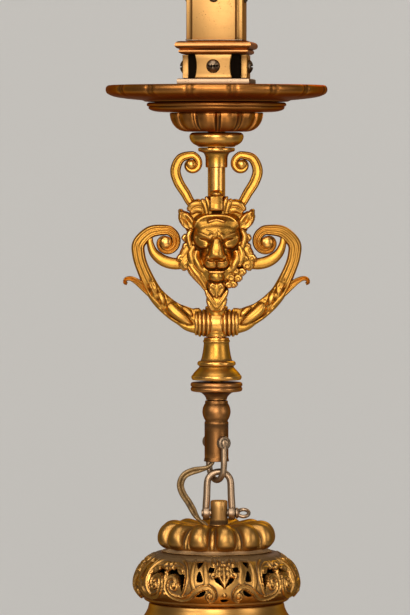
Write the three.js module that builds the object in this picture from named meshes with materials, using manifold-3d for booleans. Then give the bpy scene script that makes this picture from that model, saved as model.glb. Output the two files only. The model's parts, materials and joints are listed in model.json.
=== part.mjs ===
import * as THREE from "three";
import { mergeVertices } from "three/addons/utils/BufferGeometryUtils.js";
import Module from "manifold-3d";

// Gilt bronze hanging lantern, in millimetres.
// The origin is the middle of the ceiling face, +Z is up, and the lion masks look along -Y and +Y.

const wasm = await Module();
wasm.setup();

// Gap kept between pieces that touch
const CLEAR = 0.3;

// Ceiling plate and square post
const SQUARE_TURN = -6;
const PLATE_WIDTH = 90;
const PLATE_THICK = 5;
const PLATE_HOLE = 2.6;
const PLATE_HOLE_INSET = 9;
const POST_SIDE = 45;
const POST_CORNER = 5.2;
const POST_LENGTH = 68;
const POST_BORE = 14;
const WIRE_HOLE = 4;
const WIRE_HOLE_X = 8;
const POST_SCREW_DROP = 39;
const POST_SCREW_HEAD = 4;
const POST_SCREW_RISE = 2.4;
const POST_SCREW_SHANK = 2;

// Collar, cage and base plate, square in plan
const COLLAR_SIDE = 60.8;
const COLLAR_HEIGHT = 10.4;
const NUT_SIZE = 10.5;
const NUT_HEIGHT = 5;
const CAGE_SIDE = 51.6;
const UPRIGHT_WIDTH = 29.6;
const UPRIGHT_HEIGHT = 18.6;
const UPRIGHT_THICK = 5;
const CORE_BORE = 14;
const CAGE_SCREW_HEAD = 5.5;
const CAGE_SCREW_RISE = 3.2;
const CAGE_SCREW_SHANK = 2.5;
const SCREW_SLOT = 1.2;
const BASE_SIDE = 57.6;
const BASE_THICK = 4.6;

// Dish and the turned knops under it
const DISH_RADIUS = 88.8;
const DISH_DEPTH = 13.6;
const DISH_SEAT = 36;
const DISH_PANELS = 16;
const DISH_PANEL_DEPTH = 2.2;
const DISH_TURN = 8.2;
const RING_RADIUS = 56;
const RING_HEIGHT = 8;
const BOWL_RADIUS = 37.6;
const BOWL_HEIGHT = 15.2;
const BOWL_PANELS = 12;
const BOWL_TURN = 1.5;
const BOWL_RIB_RISE = 0.7;
const OVOLO_RADIUS = 21.9;
const OVOLO_HEIGHT = 12;
const SLEEVE_FILLET = 14.8;
const SLEEVE_RADIUS = 8.8;
const SLEEVE_HEIGHT = 16;

// Stem, scrolls, hub and masks
const STEM_RADIUS = 7;
const STEM_BORE = 4;
const CAST_DEPTH = 10;
const UPPER_SCROLL_DROP = 13.4;
const UPPER_VOLUTE_X = 20.2;
const UPPER_VOLUTE_RADIUS = 7.4;
const ARM_SPAN = 61.8;
const ARM_RISE = 51;
const ARM_VOLUTE_X = 40.5;
const ARM_VOLUTE_RADIUS = 9.8;
const MASK_DROP = 57.9;
const MASK_RELIEF = 1;
const STEM_TO_HUB = 110.7;
const HUB_HALF = 17.6;
const HUB_RADIUS = 11.2;
const HUB_SOCKET = 9.2;
const HUB_HEIGHT = 24.8;

// Column and swivel
const COLUMN_RADIUS = 10.1;
const COLUMN_HEIGHT = 34.1;
const BELL_RADIUS = 20.6;
const SPINDLE_RADIUS = 5;
const SPINDLE_BORE = 3;
const SPINDLE_HEAD = 3.6;
const SHOULDER_DROP = 16.4;
const SWIVEL_GAP = 1.6;
const FLANGE_RADIUS = 20.8;
const FLANGE_HEIGHT = 14.4;
const KNOP_RADIUS = 11.4;
const KNOP_HEIGHT = 17.5;
const TUBE_RADIUS = 9.6;
const TUBE_BORE = 8.4;
const TUBE_LENGTH = 31.4;
const CROSS_PIN_RISE = 15.2;

// Shackles
const UPPER_TURN = 27;
const UPPER_ROD = 2.6;
const UPPER_PIN = 3;
const UPPER_EAR = 5.2;
const UPPER_BOW = 30.4;
const TUBE_SIDE_GAP = 0.8;
const LINK_X = 2;
const LINK_PLAY = 0.5;
const LOWER_ROD = 2.8;
const LOWER_PIN = 3;
const LOWER_EAR = 5.6;
const LOWER_BOW = 33.2;
const LOWER_CROWN = 6.6;
const POST_SIDE_GAP = 0.5;
const EYE_RADIUS = 4.4;
const EYE_ROD = 1.5;

// Crown post, dome and pierced band
const CROWN_POST_RADIUS = 7;
const CROWN_POST_RISE = 10.4;
const CROWN_POST_DROP = 9.8;
const SPIGOT_RADIUS = 4;
const SPIGOT_LENGTH = 12;
const POST_NUT_SIZE = 6.6;
const POST_NUT_HEIGHT = 5;
const CROWN_PLATE = 4;
const FLEX_HOLE_X = -7.6;
const FLEX_Y = -2;
const FLEX_HOLE = 3.4;
const DOME_RADIUS = 47.2;
const DOME_LOBES = 12;
const DOME_TURN = 10.2;
const DOME_LOBE_DEPTH = 4.6;
const DOME_BASE = 43.2;
const DOME_FOOT = 20.1;
const BAND_RADIUS = 66;
const BAND_HEIGHT = 39.8;
const BAND_WALL = 3.4;
const BAND_TURN = 5.4;
const BAND_MOTIFS = 4;
const LINING_RADIUS = 46;
const LINING_WALL = 1.2;

// Roof, glass body and lamp
const NECK_RADIUS = 53.6;
const ROOF_OVERHANG = 9;
const ROOF_HEIGHT = 58;
const ROOF_WALL = 2.4;
const ROOF_RIM = 7;
const ROOF_PLATE = 3;
const GLASS_RADIUS = 97;
const GLASS_WALL = 3;
const GLASS_HEIGHT = 146;
const REBATE = 5;
const BAR_COUNT = 4;
const BAR_WIDTH = 9;
const BAR_THICK = 6;
const LOWER_RING_HEIGHT = 13;
const LOWER_RING_LIP = 6;
const BUD_RADIUS = 6;
const BUD_HEIGHT = 19;
const TIE_COUNT = 3;
const TIE_RADIUS = 2.5;
const TIE_CIRCLE = 25;
const TIE_HEAD = 4.5;
const CARRIER_RADIUS = 6;
const CARRIER_BORE = 4;
const CARRIER_LENGTH = 46;
const CARRIER_FLANGE = 12;
const CARRIER_FLANGE_THICK = 3;
const HOLDER_RADIUS = 17;
const HOLDER_HEIGHT = 42;
const HOLDER_GRIP = 8;
const BULB_RADIUS = 30;
const BULB_HEIGHT = 92;
const BULB_CAP = 12.5;

// Twin flex
const STRAND_RADIUS = 1.55;

const finish = (color, roughness, metalness) =>
  new THREE.MeshStandardMaterial({ color, roughness, metalness });
const GILT = finish(0xc98f2e, 0.34, 1);
const DARK_BRONZE = finish(0x7a4d1e, 0.42, 1);
const BRASS = finish(0xd9a441, 0.3, 1);
const COPPER = finish(0x8c5a2c, 0.36, 1);
const OLD_STEEL = finish(0x7d6b58, 0.55, 0.9);
const BROWN_SCREW = finish(0x3a2a1c, 0.5, 0.9);
const GLASS = finish(0xdfe6e2, 0.05, 0);
const CERAMIC = finish(0xe9e4d8, 0.4, 0);
const FLEX = finish(0xa8823a, 0.4, 0.1);

const rad = THREE.MathUtils.degToRad;

// A closed geometry as a solid with its faces pointing out.
function solid(geometry) {
  const bare = new THREE.BufferGeometry();
  bare.setAttribute("position", geometry.getAttribute("position"));
  bare.setIndex(geometry.index);
  const merged = mergeVertices(bare, 1e-4);
  const vertProperties = new Float32Array(merged.getAttribute("position").array);
  const corners = merged.index.array;
  const kept = [];
  for (let i = 0; i < corners.length; i += 3) {
    const [a, b, c] = corners.slice(i, i + 3);
    if (a !== b && b !== c && c !== a) kept.push([a, b, c]);
  }
  const make = (faces) =>
    new wasm.Manifold(new wasm.Mesh({ numProp: 3, vertProperties,
    triVerts: new Uint32Array(faces.flat()) }));
  const first = make(kept);
  return first.volume() > 0 ? first : make(kept.map(([a, b, c]) => [a, c, b]));
}

// The first solid joined with the others.
function join(first, ...others) {
  return others.reduce((sum, piece) => sum.add(piece), first);
}

// The first solid with the others cut out of it.
function cut(first, ...others) {
  return others.reduce((rest, piece) => rest.subtract(piece), first);
}

// A piece turned round Z: the outline is a list of [radius, z], and it closes on itself.
function turned(outline, sides = 32, shape = null) {
  const points = [...outline, outline[0]].map(([r, z]) => new THREE.Vector2(r, z));
  const geometry = new THREE.LatheGeometry(points, sides).rotateX(Math.PI / 2);
  return solid(shape ? reshaped(geometry, shape) : geometry);
}

// Moves each corner of a turned piece along its radius: shape gives the new radius.
function reshaped(geometry, shape) {
  const at = geometry.getAttribute("position");
  for (let i = 0; i < at.count; i += 1) {
    const [x, y, z] = [at.getX(i), at.getY(i), at.getZ(i)];
    const radius = Math.hypot(x, y);
    if (radius < 1e-6) continue;
    const factor = shape(radius, z, Math.atan2(y, x)) / radius;
    at.setXYZ(i, x * factor, y * factor, z);
  }
  return geometry;
}

// A moulding square in plan: the outline is a list of [half side, z] that starts and ends on the axis.
function squared(outline) {
  const points = outline.map(([half, z]) => new THREE.Vector2(half * Math.SQRT2, z));
  return solid(new THREE.LatheGeometry(points, 4).rotateX(Math.PI / 2).rotateZ(Math.PI / 4));
}

// A round rod between two points.
function rod(radius, from, to, sides = 16) {
  const start = new THREE.Vector3(...from);
  const run = new THREE.Vector3(...to).sub(start);
  const geometry = new THREE.CylinderGeometry(radius, radius, run.length(), sides);
  const upright = new THREE.Vector3(0, 1, 0);
  geometry.applyQuaternion(new THREE.Quaternion().setFromUnitVectors(upright, run.clone().normalize()));
  const middle = start.addScaledVector(run, 0.5);
  return solid(geometry.translate(middle.x, middle.y, middle.z));
}

// A rectangular block between two opposite corners.
function block(low, high) {
  const size = high.map((value, i) => value - low[i]);
  const middle = high.map((value, i) => (value + low[i]) / 2);
  return solid(new THREE.BoxGeometry(...size).translate(...middle));
}

// A round bar along a curve.
function bent(curve, radius, sides, steps) {
  const ring = [];
  for (let k = 0; k < sides; k += 1) {
    const angle = (k / sides) * 2 * Math.PI;
    ring.push(new THREE.Vector2(radius * Math.cos(angle), radius * Math.sin(angle)));
  }
  return solid(new THREE.ExtrudeGeometry(new THREE.Shape(ring), { steps, extrudePath: curve,
    bevelEnabled: false }));
}

// A hexagonal nut with a round hole.
function nut(size, hole, top, height, x = 0) {
  const hexagon = new THREE.CylinderGeometry(size, size, height, 6).rotateX(Math.PI / 2);
  const body = solid(hexagon.translate(x, 0, top - height / 2));
  return cut(body, rod(hole, [x, 0, top + 1], [x, 0, top - height - 1]));
}

// A round-headed screw that points along +Y from a head on the face at y = 0.
function screw(head, rise, shank, length, slot = 0) {
  const dome = [[0, -rise], [head * 0.6, -rise], [head, 0], [shank, 0], [shank, length], [0, length]];
  const points = dome.map(([r, y]) => new THREE.Vector2(r, y));
  const whole = solid(new THREE.LatheGeometry(points, 8));
  return slot ? cut(whole, block([-head, -rise - 1, -slot / 2], [head, -rise * 0.6, slot / 2])) : whole;
}

// A cast bar in the XZ plane: each stop is [x, z, width], and the section is a slab with pointed edges.
function castBar(stops, depth, steps, side = 1) {
  const line = new THREE.CatmullRomCurve3(stops.map(([x, z, width]) => new THREE.Vector3(x, width, z)));
  const section = [[1, 0], [0.6, 1], [-0.6, 1], [-1, 0], [-0.6, -1], [0.6, -1]];
  const positions = [];
  const index = [];
  for (let i = 0; i <= steps; i += 1) {
    const at = line.getPoint(i / steps);
    const along = line.getTangent(i / steps);
    const across = new THREE.Vector2(-along.z, along.x).normalize();
    for (const [u, v] of section) {
      const offset = (u * at.y) / 2;
      positions.push(side * (at.x + across.x * offset), (v * depth) / 2, at.z + across.y * offset);
    }
  }
  const n = section.length;
  for (let i = 0; i < steps; i += 1) {
    for (let k = 0; k < n; k += 1) {
      const [a, b] = [i * n + k, i * n + ((k + 1) % n)];
      index.push(a, b, b + n, a, b + n, a + n);
    }
  }
  for (let k = 1; k < n - 1; k += 1) {
    index.push(0, k + 1, k);
    index.push(steps * n, steps * n + k, steps * n + k + 1);
  }
  const geometry = new THREE.BufferGeometry();
  geometry.setAttribute("position", new THREE.Float32BufferAttribute(positions, 3));
  geometry.setIndex(index);
  return solid(geometry);
}

// Stops of a volute that winds out from its eye: angles in degrees, counted from +X towards +Z.
function volute(x, z, fromAngle, toAngle, fromRadius, toRadius, fromWidth, toWidth, count) {
  const stops = [];
  for (let i = 0; i < count; i += 1) {
    const t = i / (count - 1);
    const angle = rad(fromAngle + (toAngle - fromAngle) * t);
    const radius = fromRadius + (toRadius - fromRadius) * t;
    stops.push([x + radius * Math.cos(angle), z + radius * Math.sin(angle),
    fromWidth + (toWidth - fromWidth) * t]);
  }
  return stops;
}

// A cutter through a round wall: each point of the outline is [degrees round Z, z].
function radialCutter(outline, turn, inner, outer) {
  const contour = outline.map(([degrees, z]) => new THREE.Vector2(degrees, z));
  const faces = THREE.ShapeUtils.triangulateShape(contour, []);
  const n = outline.length;
  const positions = [];
  for (const radius of [inner, outer]) {
    for (const [degrees, z] of outline) {
      const angle = rad(degrees + turn - 90);
      positions.push(radius * Math.cos(angle), radius * Math.sin(angle), z);
    }
  }
  const index = [];
  for (const [a, b, c] of faces) index.push(a, c, b, a + n, b + n, c + n);
  const flip = THREE.ShapeUtils.isClockWise(contour);
  for (let k = 0; k < n; k += 1) {
    const next = (k + 1) % n;
    const [a, b] = flip ? [next, k] : [k, next];
    index.push(a, b, b + n, a, b + n, a + n);
  }
  const geometry = new THREE.BufferGeometry();
  geometry.setAttribute("position", new THREE.Float32BufferAttribute(positions, 3));
  geometry.setIndex(index);
  return solid(geometry);
}

const lantern = new THREE.Group();

// Adds a solid to a group as a named mesh.
function add(group, name, piece, material) {
  const { numProp, vertProperties, triVerts } = piece.getMesh();
  const positions = [];
  for (let i = 0; i < vertProperties.length; i += numProp) positions.push(...vertProperties.slice(i, i + 3));
  const geometry = new THREE.BufferGeometry();
  geometry.setAttribute("position", new THREE.Float32BufferAttribute(positions, 3));
  geometry.setIndex([...triVerts]);
  geometry.computeVertexNormals();
  const mesh = new THREE.Mesh(geometry, material);
  mesh.name = name;
  group.add(mesh);
  return mesh;
}

function subgroup(parent, x = 0, y = 0, z = 0, turn = 0) {
  const group = new THREE.Group();
  group.position.set(x, y, z);
  group.rotation.z = rad(turn);
  parent.add(group);
  return group;
}

// Levels down the fixed upper part
const postTop = -PLATE_THICK - CLEAR;
const postBottom = postTop - POST_LENGTH;
const collarTop = postBottom - CLEAR;
const collarBottom = collarTop - COLLAR_HEIGHT;
const uprightTop = collarBottom - CLEAR;
const uprightBottom = uprightTop - UPRIGHT_HEIGHT;
const baseTop = uprightBottom - CLEAR;
const baseBottom = baseTop - BASE_THICK;
const dishTop = baseBottom - CLEAR;
const ringTop = dishTop - DISH_DEPTH - CLEAR;
const bowlTop = ringTop - RING_HEIGHT - CLEAR;
const ovoloTop = bowlTop - BOWL_HEIGHT - CLEAR;
const sleeveTop = ovoloTop - OVOLO_HEIGHT - CLEAR;
const sleeveBottom = sleeveTop - SLEEVE_HEIGHT;
const hubTop = sleeveBottom - STEM_TO_HUB;
const hubBottom = hubTop - HUB_HEIGHT;
const columnTop = hubBottom - CLEAR;
const columnBottom = columnTop - COLUMN_HEIGHT;
const shoulder = columnTop - SHOULDER_DROP;
const flangeTop = columnBottom - SWIVEL_GAP;
const flangeBottom = flangeTop - FLANGE_HEIGHT;
const knopTop = flangeBottom - CLEAR;
const tubeTop = knopTop - KNOP_HEIGHT;
const tubeMouth = tubeTop - TUBE_LENGTH;
const crossPin = tubeMouth + CROSS_PIN_RISE;
const upperBow = crossPin - UPPER_BOW;
// The crown of the lower bow rests on the rod of the upper one, a little to one side of its middle.
const linkReach = LOWER_CROWN - UPPER_ROD - CLEAR;
const lowerCrown = upperBow - Math.sqrt(linkReach ** 2 - LINK_X ** 2) + LOWER_CROWN + LOWER_ROD + LINK_PLAY;
const lowerPin = lowerCrown - LOWER_BOW;
const crownTop = lowerPin - CROWN_POST_DROP - CLEAR;
const bandTop = crownTop - DOME_FOOT - CLEAR;
const bandBottom = bandTop - BAND_HEIGHT;
const roofTop = bandBottom - CLEAR;
const roofBottom = roofTop - ROOF_HEIGHT;

const stemHole = STEM_RADIUS + CLEAR;

// Square post, collar, cage and base plate
const square = subgroup(lantern, 0, 0, 0, SQUARE_TURN);

// The four sides of the square parts, by name and turn.
const SIDES = { front: 0, right: 90, back: 180, left: 270 };

function ceilingPlate() {
  const half = PLATE_WIDTH / 2;
  const bevel = 1.5;
  const outline = [[0, 0], [half, 0], [half, bevel - PLATE_THICK], [half - bevel, -PLATE_THICK],
    [0, -PLATE_THICK]];
  const inset = half - PLATE_HOLE_INSET;
  const holes = [[1, 1], [1, -1], [-1, 1], [-1, -1]].map(([sx, sy]) =>
    rod(PLATE_HOLE, [sx * inset, sy * inset, 1], [sx * inset, sy * inset, -PLATE_THICK - 1], 6));
  const wireHole = rod(WIRE_HOLE, [WIRE_HOLE_X, 0, 1], [WIRE_HOLE_X, 0, -PLATE_THICK - 1], 10);
  return cut(squared(outline), ...holes, wireHole);
}

function post() {
  const half = POST_SIDE / 2;
  const inner = half - POST_CORNER;
  const plan = new THREE.Shape();
  plan.moveTo(-inner, -half);
  for (let quarter = 0; quarter < 4; quarter += 1) {
    const turn = (quarter * Math.PI) / 2;
    const place = (x, y) => [x * Math.cos(turn) - y * Math.sin(turn),
      x * Math.sin(turn) + y * Math.cos(turn)];
    plan.lineTo(...place(inner, -half));
    plan.quadraticCurveTo(...place(inner + 0.6, -inner - 0.6), ...place(half, -inner));
  }
  const column = new THREE.ExtrudeGeometry(plan, { depth: POST_LENGTH, bevelEnabled: false,
    curveSegments: 2 });
  const body = solid(column.translate(0, 0, postBottom));
  const drop = -POST_SCREW_DROP;
  const reach = half + 1;
  return cut(
    body,
    rod(POST_BORE, [0, 0, postTop + 1], [0, 0, postBottom - 1], 12),
    rod(POST_SCREW_SHANK + CLEAR, [0, -reach, drop], [0, reach, drop], 8),
    rod(POST_SCREW_SHANK + CLEAR, [-reach, 0, drop], [reach, 0, drop], 8),
  );
}

function collar() {
  const half = COLLAR_SIDE / 2;
  const bead = half - 3.4;
  const outline = [[0, 0], [half - 3, 0], [half - 0.6, -1], [half, -2.9], [half - 0.8, -4.6],
    [half - 3.6, -5.4],
    [half - 4.2, -6], [bead - 0.6, -6.6], [bead, -8], [bead - 0.6, -9.4], [bead - 2, -COLLAR_HEIGHT],
    [0, -COLLAR_HEIGHT]];
  const lifted = outline.map(([r, z]) => [r, z + collarTop]);
  return cut(squared(lifted), rod(stemHole, [0, 0, collarTop + 1], [0, 0, collarBottom - 1], 12));
}

function basePlate() {
  const half = BASE_SIDE / 2;
  const bevel = 0.8;
  const outline = [[0, baseTop], [half - bevel, baseTop], [half, baseTop - bevel], [half, baseBottom],
    [0, baseBottom]];
  return cut(squared(outline), rod(stemHole, [0, 0, baseTop + 1], [0, 0, baseBottom - 1], 12));
}

// An upright of the cage, waisted on its two edges, with the hole for its screw.
function upright() {
  const half = UPRIGHT_WIDTH / 2;
  const face = new THREE.Shape();
  face.moveTo(-half, 0);
  face.lineTo(half, 0);
  face.quadraticCurveTo(half - 1.4, UPRIGHT_HEIGHT / 2, half, UPRIGHT_HEIGHT);
  face.lineTo(-half, UPRIGHT_HEIGHT);
  face.quadraticCurveTo(1.4 - half, UPRIGHT_HEIGHT / 2, -half, 0);
  const slab = new THREE.ExtrudeGeometry(face, { depth: UPRIGHT_THICK, bevelEnabled: false,
    curveSegments: 2 });
  slab.rotateX(Math.PI / 2).translate(0, UPRIGHT_THICK, 0);
  const middle = UPRIGHT_HEIGHT / 2;
  const hole = rod(CAGE_SCREW_SHANK + CLEAR, [0, -1, middle], [0, UPRIGHT_THICK + 1, middle], 8);
  return cut(solid(slab), hole);
}

// The block inside the cage, which the screws of the uprights hold.
function cageCore() {
  const half = CAGE_SIDE / 2 - UPRIGHT_THICK - CLEAR;
  const low = uprightBottom;
  const top = low + UPRIGHT_HEIGHT;
  const middle = low + UPRIGHT_HEIGHT / 2;
  const reach = half + 1;
  const block = squared([[0, top], [half, top], [half, low], [0, low]]);
  return cut(
    block,
    rod(CORE_BORE, [0, 0, top + 1], [0, 0, low - 1], 16),
    rod(CAGE_SCREW_SHANK + CLEAR, [0, -reach, middle], [0, reach, middle], 8),
    rod(CAGE_SCREW_SHANK + CLEAR, [-reach, 0, middle], [reach, 0, middle], 8),
  );
}

add(square, "ceiling_plate", ceilingPlate(), BRASS);
add(square, "post", post(), BRASS);
add(square, "collar", collar(), COPPER);
for (const [side, turn] of Object.entries(SIDES)) {
  const face = subgroup(square, 0, 0, 0, turn);
  const plate = add(face, "cage_upright_" + side, upright(), BRASS);
  plate.position.set(0, -CAGE_SIDE / 2, uprightBottom);
  const cageScrew = screw(CAGE_SCREW_HEAD, CAGE_SCREW_RISE, CAGE_SCREW_SHANK, UPRIGHT_THICK + 4, SCREW_SLOT);
  const head = add(face, "cage_screw_" + side, cageScrew, BROWN_SCREW);
  head.position.set(0, -CAGE_SIDE / 2 - CLEAR, uprightBottom + UPRIGHT_HEIGHT / 2);
  const wall = POST_SIDE / 2 - POST_BORE;
  const roundScrew = screw(POST_SCREW_HEAD, POST_SCREW_RISE, POST_SCREW_SHANK, wall + 2);
  const postScrew = add(face, "post_screw_" + side, roundScrew, BROWN_SCREW);
  postScrew.position.set(0, -POST_SIDE / 2 - CLEAR, -POST_SCREW_DROP);
}
add(square, "cage_core", cageCore(), DARK_BRONZE);
add(square, "base_plate", basePlate(), OLD_STEEL);

// Dish, ring, bowl, ovolo and sleeve, threaded on the stem
const upper = subgroup(lantern);

// Outlines are written from the top of their piece, and lifted to its level.
const lift = (outline, level) => outline.map(([r, z]) => [r, z + level]);

// 0 on the seam between two panels, 1 in the middle of a panel; one seam is at the front.
const panelWave = (angle, count) => Math.abs(Math.sin((count / 2) * (angle + Math.PI / 2)));

function dish() {
  const outline = [[stemHole, 0], [DISH_SEAT, 0], [DISH_SEAT + 12, -5], [DISH_RADIUS - 12, -5],
    [DISH_RADIUS - 3, 0],
    [DISH_RADIUS, -4], [DISH_RADIUS - 2, -7.8], [DISH_RADIUS - 10, -10.4], [RING_RADIUS + 1, -DISH_DEPTH],
    [stemHole, -DISH_DEPTH]];
  const shape = (radius, z, angle) => {
    const rim = THREE.MathUtils.smoothstep(radius, DISH_RADIUS - 16, DISH_RADIUS - 4);
    return radius - DISH_PANEL_DEPTH * rim * (1 - Math.sqrt(panelWave(angle, DISH_PANELS)));
  };
  return turned(outline, DISH_PANELS * 3, shape);
}

function underRing() {
  const outline = [[stemHole, 0], [RING_RADIUS - 1.4, 0], [RING_RADIUS, -1.6], [RING_RADIUS - 1.2, -3],
    [RING_RADIUS - 3.2, -RING_HEIGHT], [stemHole, -RING_HEIGHT]];
  return turned(lift(outline, ringTop), 28);
}

function bowl() {
  const foot = BOWL_RADIUS * 0.6;
  const outline = [[stemHole, 0], [BOWL_RADIUS, 0]];
  const steps = 3;
  for (let i = 1; i <= steps; i += 1) {
    const angle = (i / steps) * (Math.PI / 2);
    outline.push([foot + (BOWL_RADIUS - foot) * Math.cos(angle), -BOWL_HEIGHT * Math.sin(angle)]);
  }
  outline.push([stemHole, -BOWL_HEIGHT]);
  const shape = (radius, z, angle) => {
    const side = THREE.MathUtils.smoothstep(radius, foot - 2, foot + 4);
    const wave = panelWave(angle, BOWL_PANELS);
    return radius + side * (wave < 0.2 ? BOWL_RIB_RISE : wave - 1);
  };
  return turned(outline, BOWL_PANELS * 3, shape);
}

function ovolo() {
  const outline = [[stemHole, 0], [OVOLO_RADIUS - 3, 0], [OVOLO_RADIUS, -2.6], [OVOLO_RADIUS - 0.3, -5.6],
    [OVOLO_RADIUS - 3.4, -9.6], [OVOLO_RADIUS - 7.4, -OVOLO_HEIGHT], [stemHole, -OVOLO_HEIGHT]];
  return turned(lift(outline, ovoloTop), 20);
}

function sleeve() {
  const outline = [[stemHole, 0], [SLEEVE_FILLET - 0.6, 0], [SLEEVE_FILLET, -1.8],
    [SLEEVE_FILLET - 0.6, -3.6],
    [SLEEVE_RADIUS + 1.2, -4.6], [SLEEVE_RADIUS, -6.4], [SLEEVE_RADIUS, -SLEEVE_HEIGHT],
    [stemHole, -SLEEVE_HEIGHT]];
  return turned(lift(outline, sleeveTop), 16);
}

const stemTop = collarTop + CLEAR + NUT_HEIGHT + 3;
const stemBottom = shoulder + SPINDLE_HEAD + 2 * CLEAR;

function stem() {
  const outline = [[STEM_BORE, stemTop], [STEM_RADIUS, stemTop], [STEM_RADIUS, stemBottom],
    [STEM_BORE, stemBottom]];
  return turned(outline, 14);
}

add(upper, "stem_nut", nut(NUT_SIZE, stemHole, collarTop + CLEAR + NUT_HEIGHT, NUT_HEIGHT), BRASS);
const dishMesh = add(upper, "dish", dish(), DARK_BRONZE);
dishMesh.position.z = dishTop;
dishMesh.rotation.z = rad(DISH_TURN);
add(upper, "under_ring", underRing(), DARK_BRONZE);
const bowlMesh = add(upper, "bowl", bowl(), DARK_BRONZE);
bowlMesh.position.z = bowlTop;
bowlMesh.rotation.z = rad(BOWL_TURN);
add(upper, "ovolo", ovolo(), GILT);
add(upper, "sleeve", sleeve(), GILT);
add(upper, "stem", stem(), GILT);

// The room that the stem needs through the scrolls and the arms
const stemGuard = () => rod(stemHole, [0, 0, bowlTop], [0, 0, hubBottom], 12);

// Upper scrolls: a volute beside the stem, then a bar that sweeps out and back in to the mask
function upperScroll(side) {
  const x = UPPER_VOLUTE_X;
  const z = sleeveTop - UPPER_SCROLL_DROP;
  const outer = x + 13;
  const stops = [
    ...volute(x, z, 420, 90, 1.6, UPPER_VOLUTE_RADIUS, 3.2, 6.4, 9),
    [x + 8.4, z + 4.8, 7],
    [outer, z - 4.4, 7.2],
    [outer - 2.8, z - 14, 7.2],
    [outer - 8.4, z - 22.8, 7],
    [x - 0.4, z - 31.4, 6.6],
    [stemHole + 3, z - 39, 6],
    [stemHole - 1, z - 41, 6],
  ];
  const eye = rod(3.4, [side * x, -4, z], [side * x, 4, z], 8);
  return cut(join(castBar(stops, CAST_DEPTH - 2, 24, side), eye), stemGuard());
}

// Levels of the arms are counted from the hub.
const hubMiddle = hubTop - HUB_HEIGHT * 0.48;
const armVoluteZ = hubTop + ARM_RISE;

// Lower arms: volute, sweep down to the hub, a branch to the mask and a curled leaf
function arm(side) {
  const x = ARM_VOLUTE_X;
  const z = armVoluteZ;
  const sweep = [
    ...volute(x, z, 420, 90, 1.6, ARM_VOLUTE_RADIUS, 3.4, 8, 9),
    [x + 12.2, z + 8.2, 9.4],
    [ARM_SPAN, z - 0.6, 10],
    [ARM_SPAN - 3, z - 20.4, 9.6],
    [ARM_SPAN - 11, z - 38.2, 10],
    [ARM_SPAN - 27, z - ARM_RISE - 3.6, 14],
    [HUB_HALF + 4, hubMiddle + 1, 20],
    [HUB_HALF - 4, hubMiddle, 22],
  ];
  const branch = [
    [ARM_SPAN - 4, z + 4, 3],
    [ARM_SPAN - 7.4, z - 4, 4],
    [x + 8.6, z - 11.4, 5.6],
    [x, z - 15.2, 7],
    [x - 12, z - 16.6, 7.6],
    [x - 24, z - 14.6, 7.6],
    [stemHole - 1, z - 14, 7.4],
  ];
  const leaf = [
    [ARM_SPAN - 9, z - 38.6, 9],
    [ARM_SPAN - 1, z - 36.8, 7.4],
    [ARM_SPAN + 7, z - 33.4, 5],
    [ARM_SPAN + 12.6, z - 28, 1.8],
  ];
  const eye = rod(5, [side * x, -4.6, z], [side * x, 4.6, z], 10);
  const whole = join(
    castBar(sweep, CAST_DEPTH, 24, side),
    castBar(branch, CAST_DEPTH - 2, 7, side),
    castBar(leaf, CAST_DEPTH - 3, 3, side),
    eye,
  );
  const room = HUB_HALF + CLEAR;
  const reach = 2 * HUB_RADIUS;
  return cut(whole, stemGuard(), block([-room, -reach, hubBottom - 5], [room, reach, hubTop + 2]));
}

function hub() {
  const ribs = [[0, -HUB_HALF], [HUB_RADIUS, -HUB_HALF], [HUB_RADIUS, -HUB_HALF + 2.4],
    [HUB_RADIUS - 1.6, -HUB_HALF + 4], [HUB_RADIUS, -HUB_HALF + 5.6]];
  const mirrored = ribs.map(([r, x]) => [r, -x]).reverse();
  const points = [...ribs, ...mirrored].map(([r, x]) => new THREE.Vector2(r, x));
  const barrel = solid(new THREE.LatheGeometry(points, 14).rotateZ(Math.PI / 2).translate(0, 0, hubMiddle));
  const socket = rod(HUB_SOCKET, [0, 0, hubTop], [0, 0, hubBottom], 14);
  return cut(join(barrel, socket), rod(stemHole, [0, 0, hubTop + 5], [0, 0, hubBottom - 5], 12));
}

// Half width of the mask at each level, from the crest down to the beard
const MASK_OUTLINE = [[30, 4], [26, 8.6], [21, 17.4], [14, 21.4], [6.4, 26], [0, 27.2], [-8, 29.6],
  [-13.6, 30.8],
  [-19.2, 28.8], [-25, 24], [-32, 16], [-38.4, 10.4], [-44, 8.6], [-50, 7.8]];

// Mounds of the lion's face: [x, z, half width, half height, rise], those off the middle on both sides
const MASK_MOUNDS = [
  [0, 12, 17, 12, 8], [0, -4, 19, 22, 7], [0, 0, 4.6, 15, 5.5], [0, -14, 6.2, 5.6, 7], [6, -19, 6.4, 6, 4.6],
  [0, -25, 6.6, 4.4, 3.4], [8, 5.4, 6, 3.2, 5.2], [12.6, -5, 5.2, 5, 4], [0, 27, 6, 5, 4.4],
  [12, 22, 5.4, 4.6, 4],
  [24, -2, 4.4, 5, 2.6], [26, -12, 4.6, 5, 3], [21.6, -20, 4.8, 5, 3], [15, -27, 4.6, 5, 3],
  [10, -35, 3.6, 5, 2.4],
  [0, -38, 7.6, 20, 3.4],
];
const MASK_HOLLOWS = [[8.6, 0.4, 3.6, 2.6, 3.6], [17.6, 3, 2.6, 9, 2.2], [13, -14.6, 3.4, 6, 2]];

function maskRise(x, z) {
  const bell = ([cx, cz, w, h, rise]) => {
    const one = (centre) => rise * Math.exp(-(((x - centre) / w) ** 2) - ((z - cz) / h) ** 2);
    return cx === 0 ? one(0) : one(cx) + one(-cx);
  };
  const up = MASK_MOUNDS.reduce((sum, mound) => sum + bell(mound), 0);
  const down = MASK_HOLLOWS.reduce((sum, hollow) => sum + bell(hollow), 0);
  return (up - down) * MASK_RELIEF;
}

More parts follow.
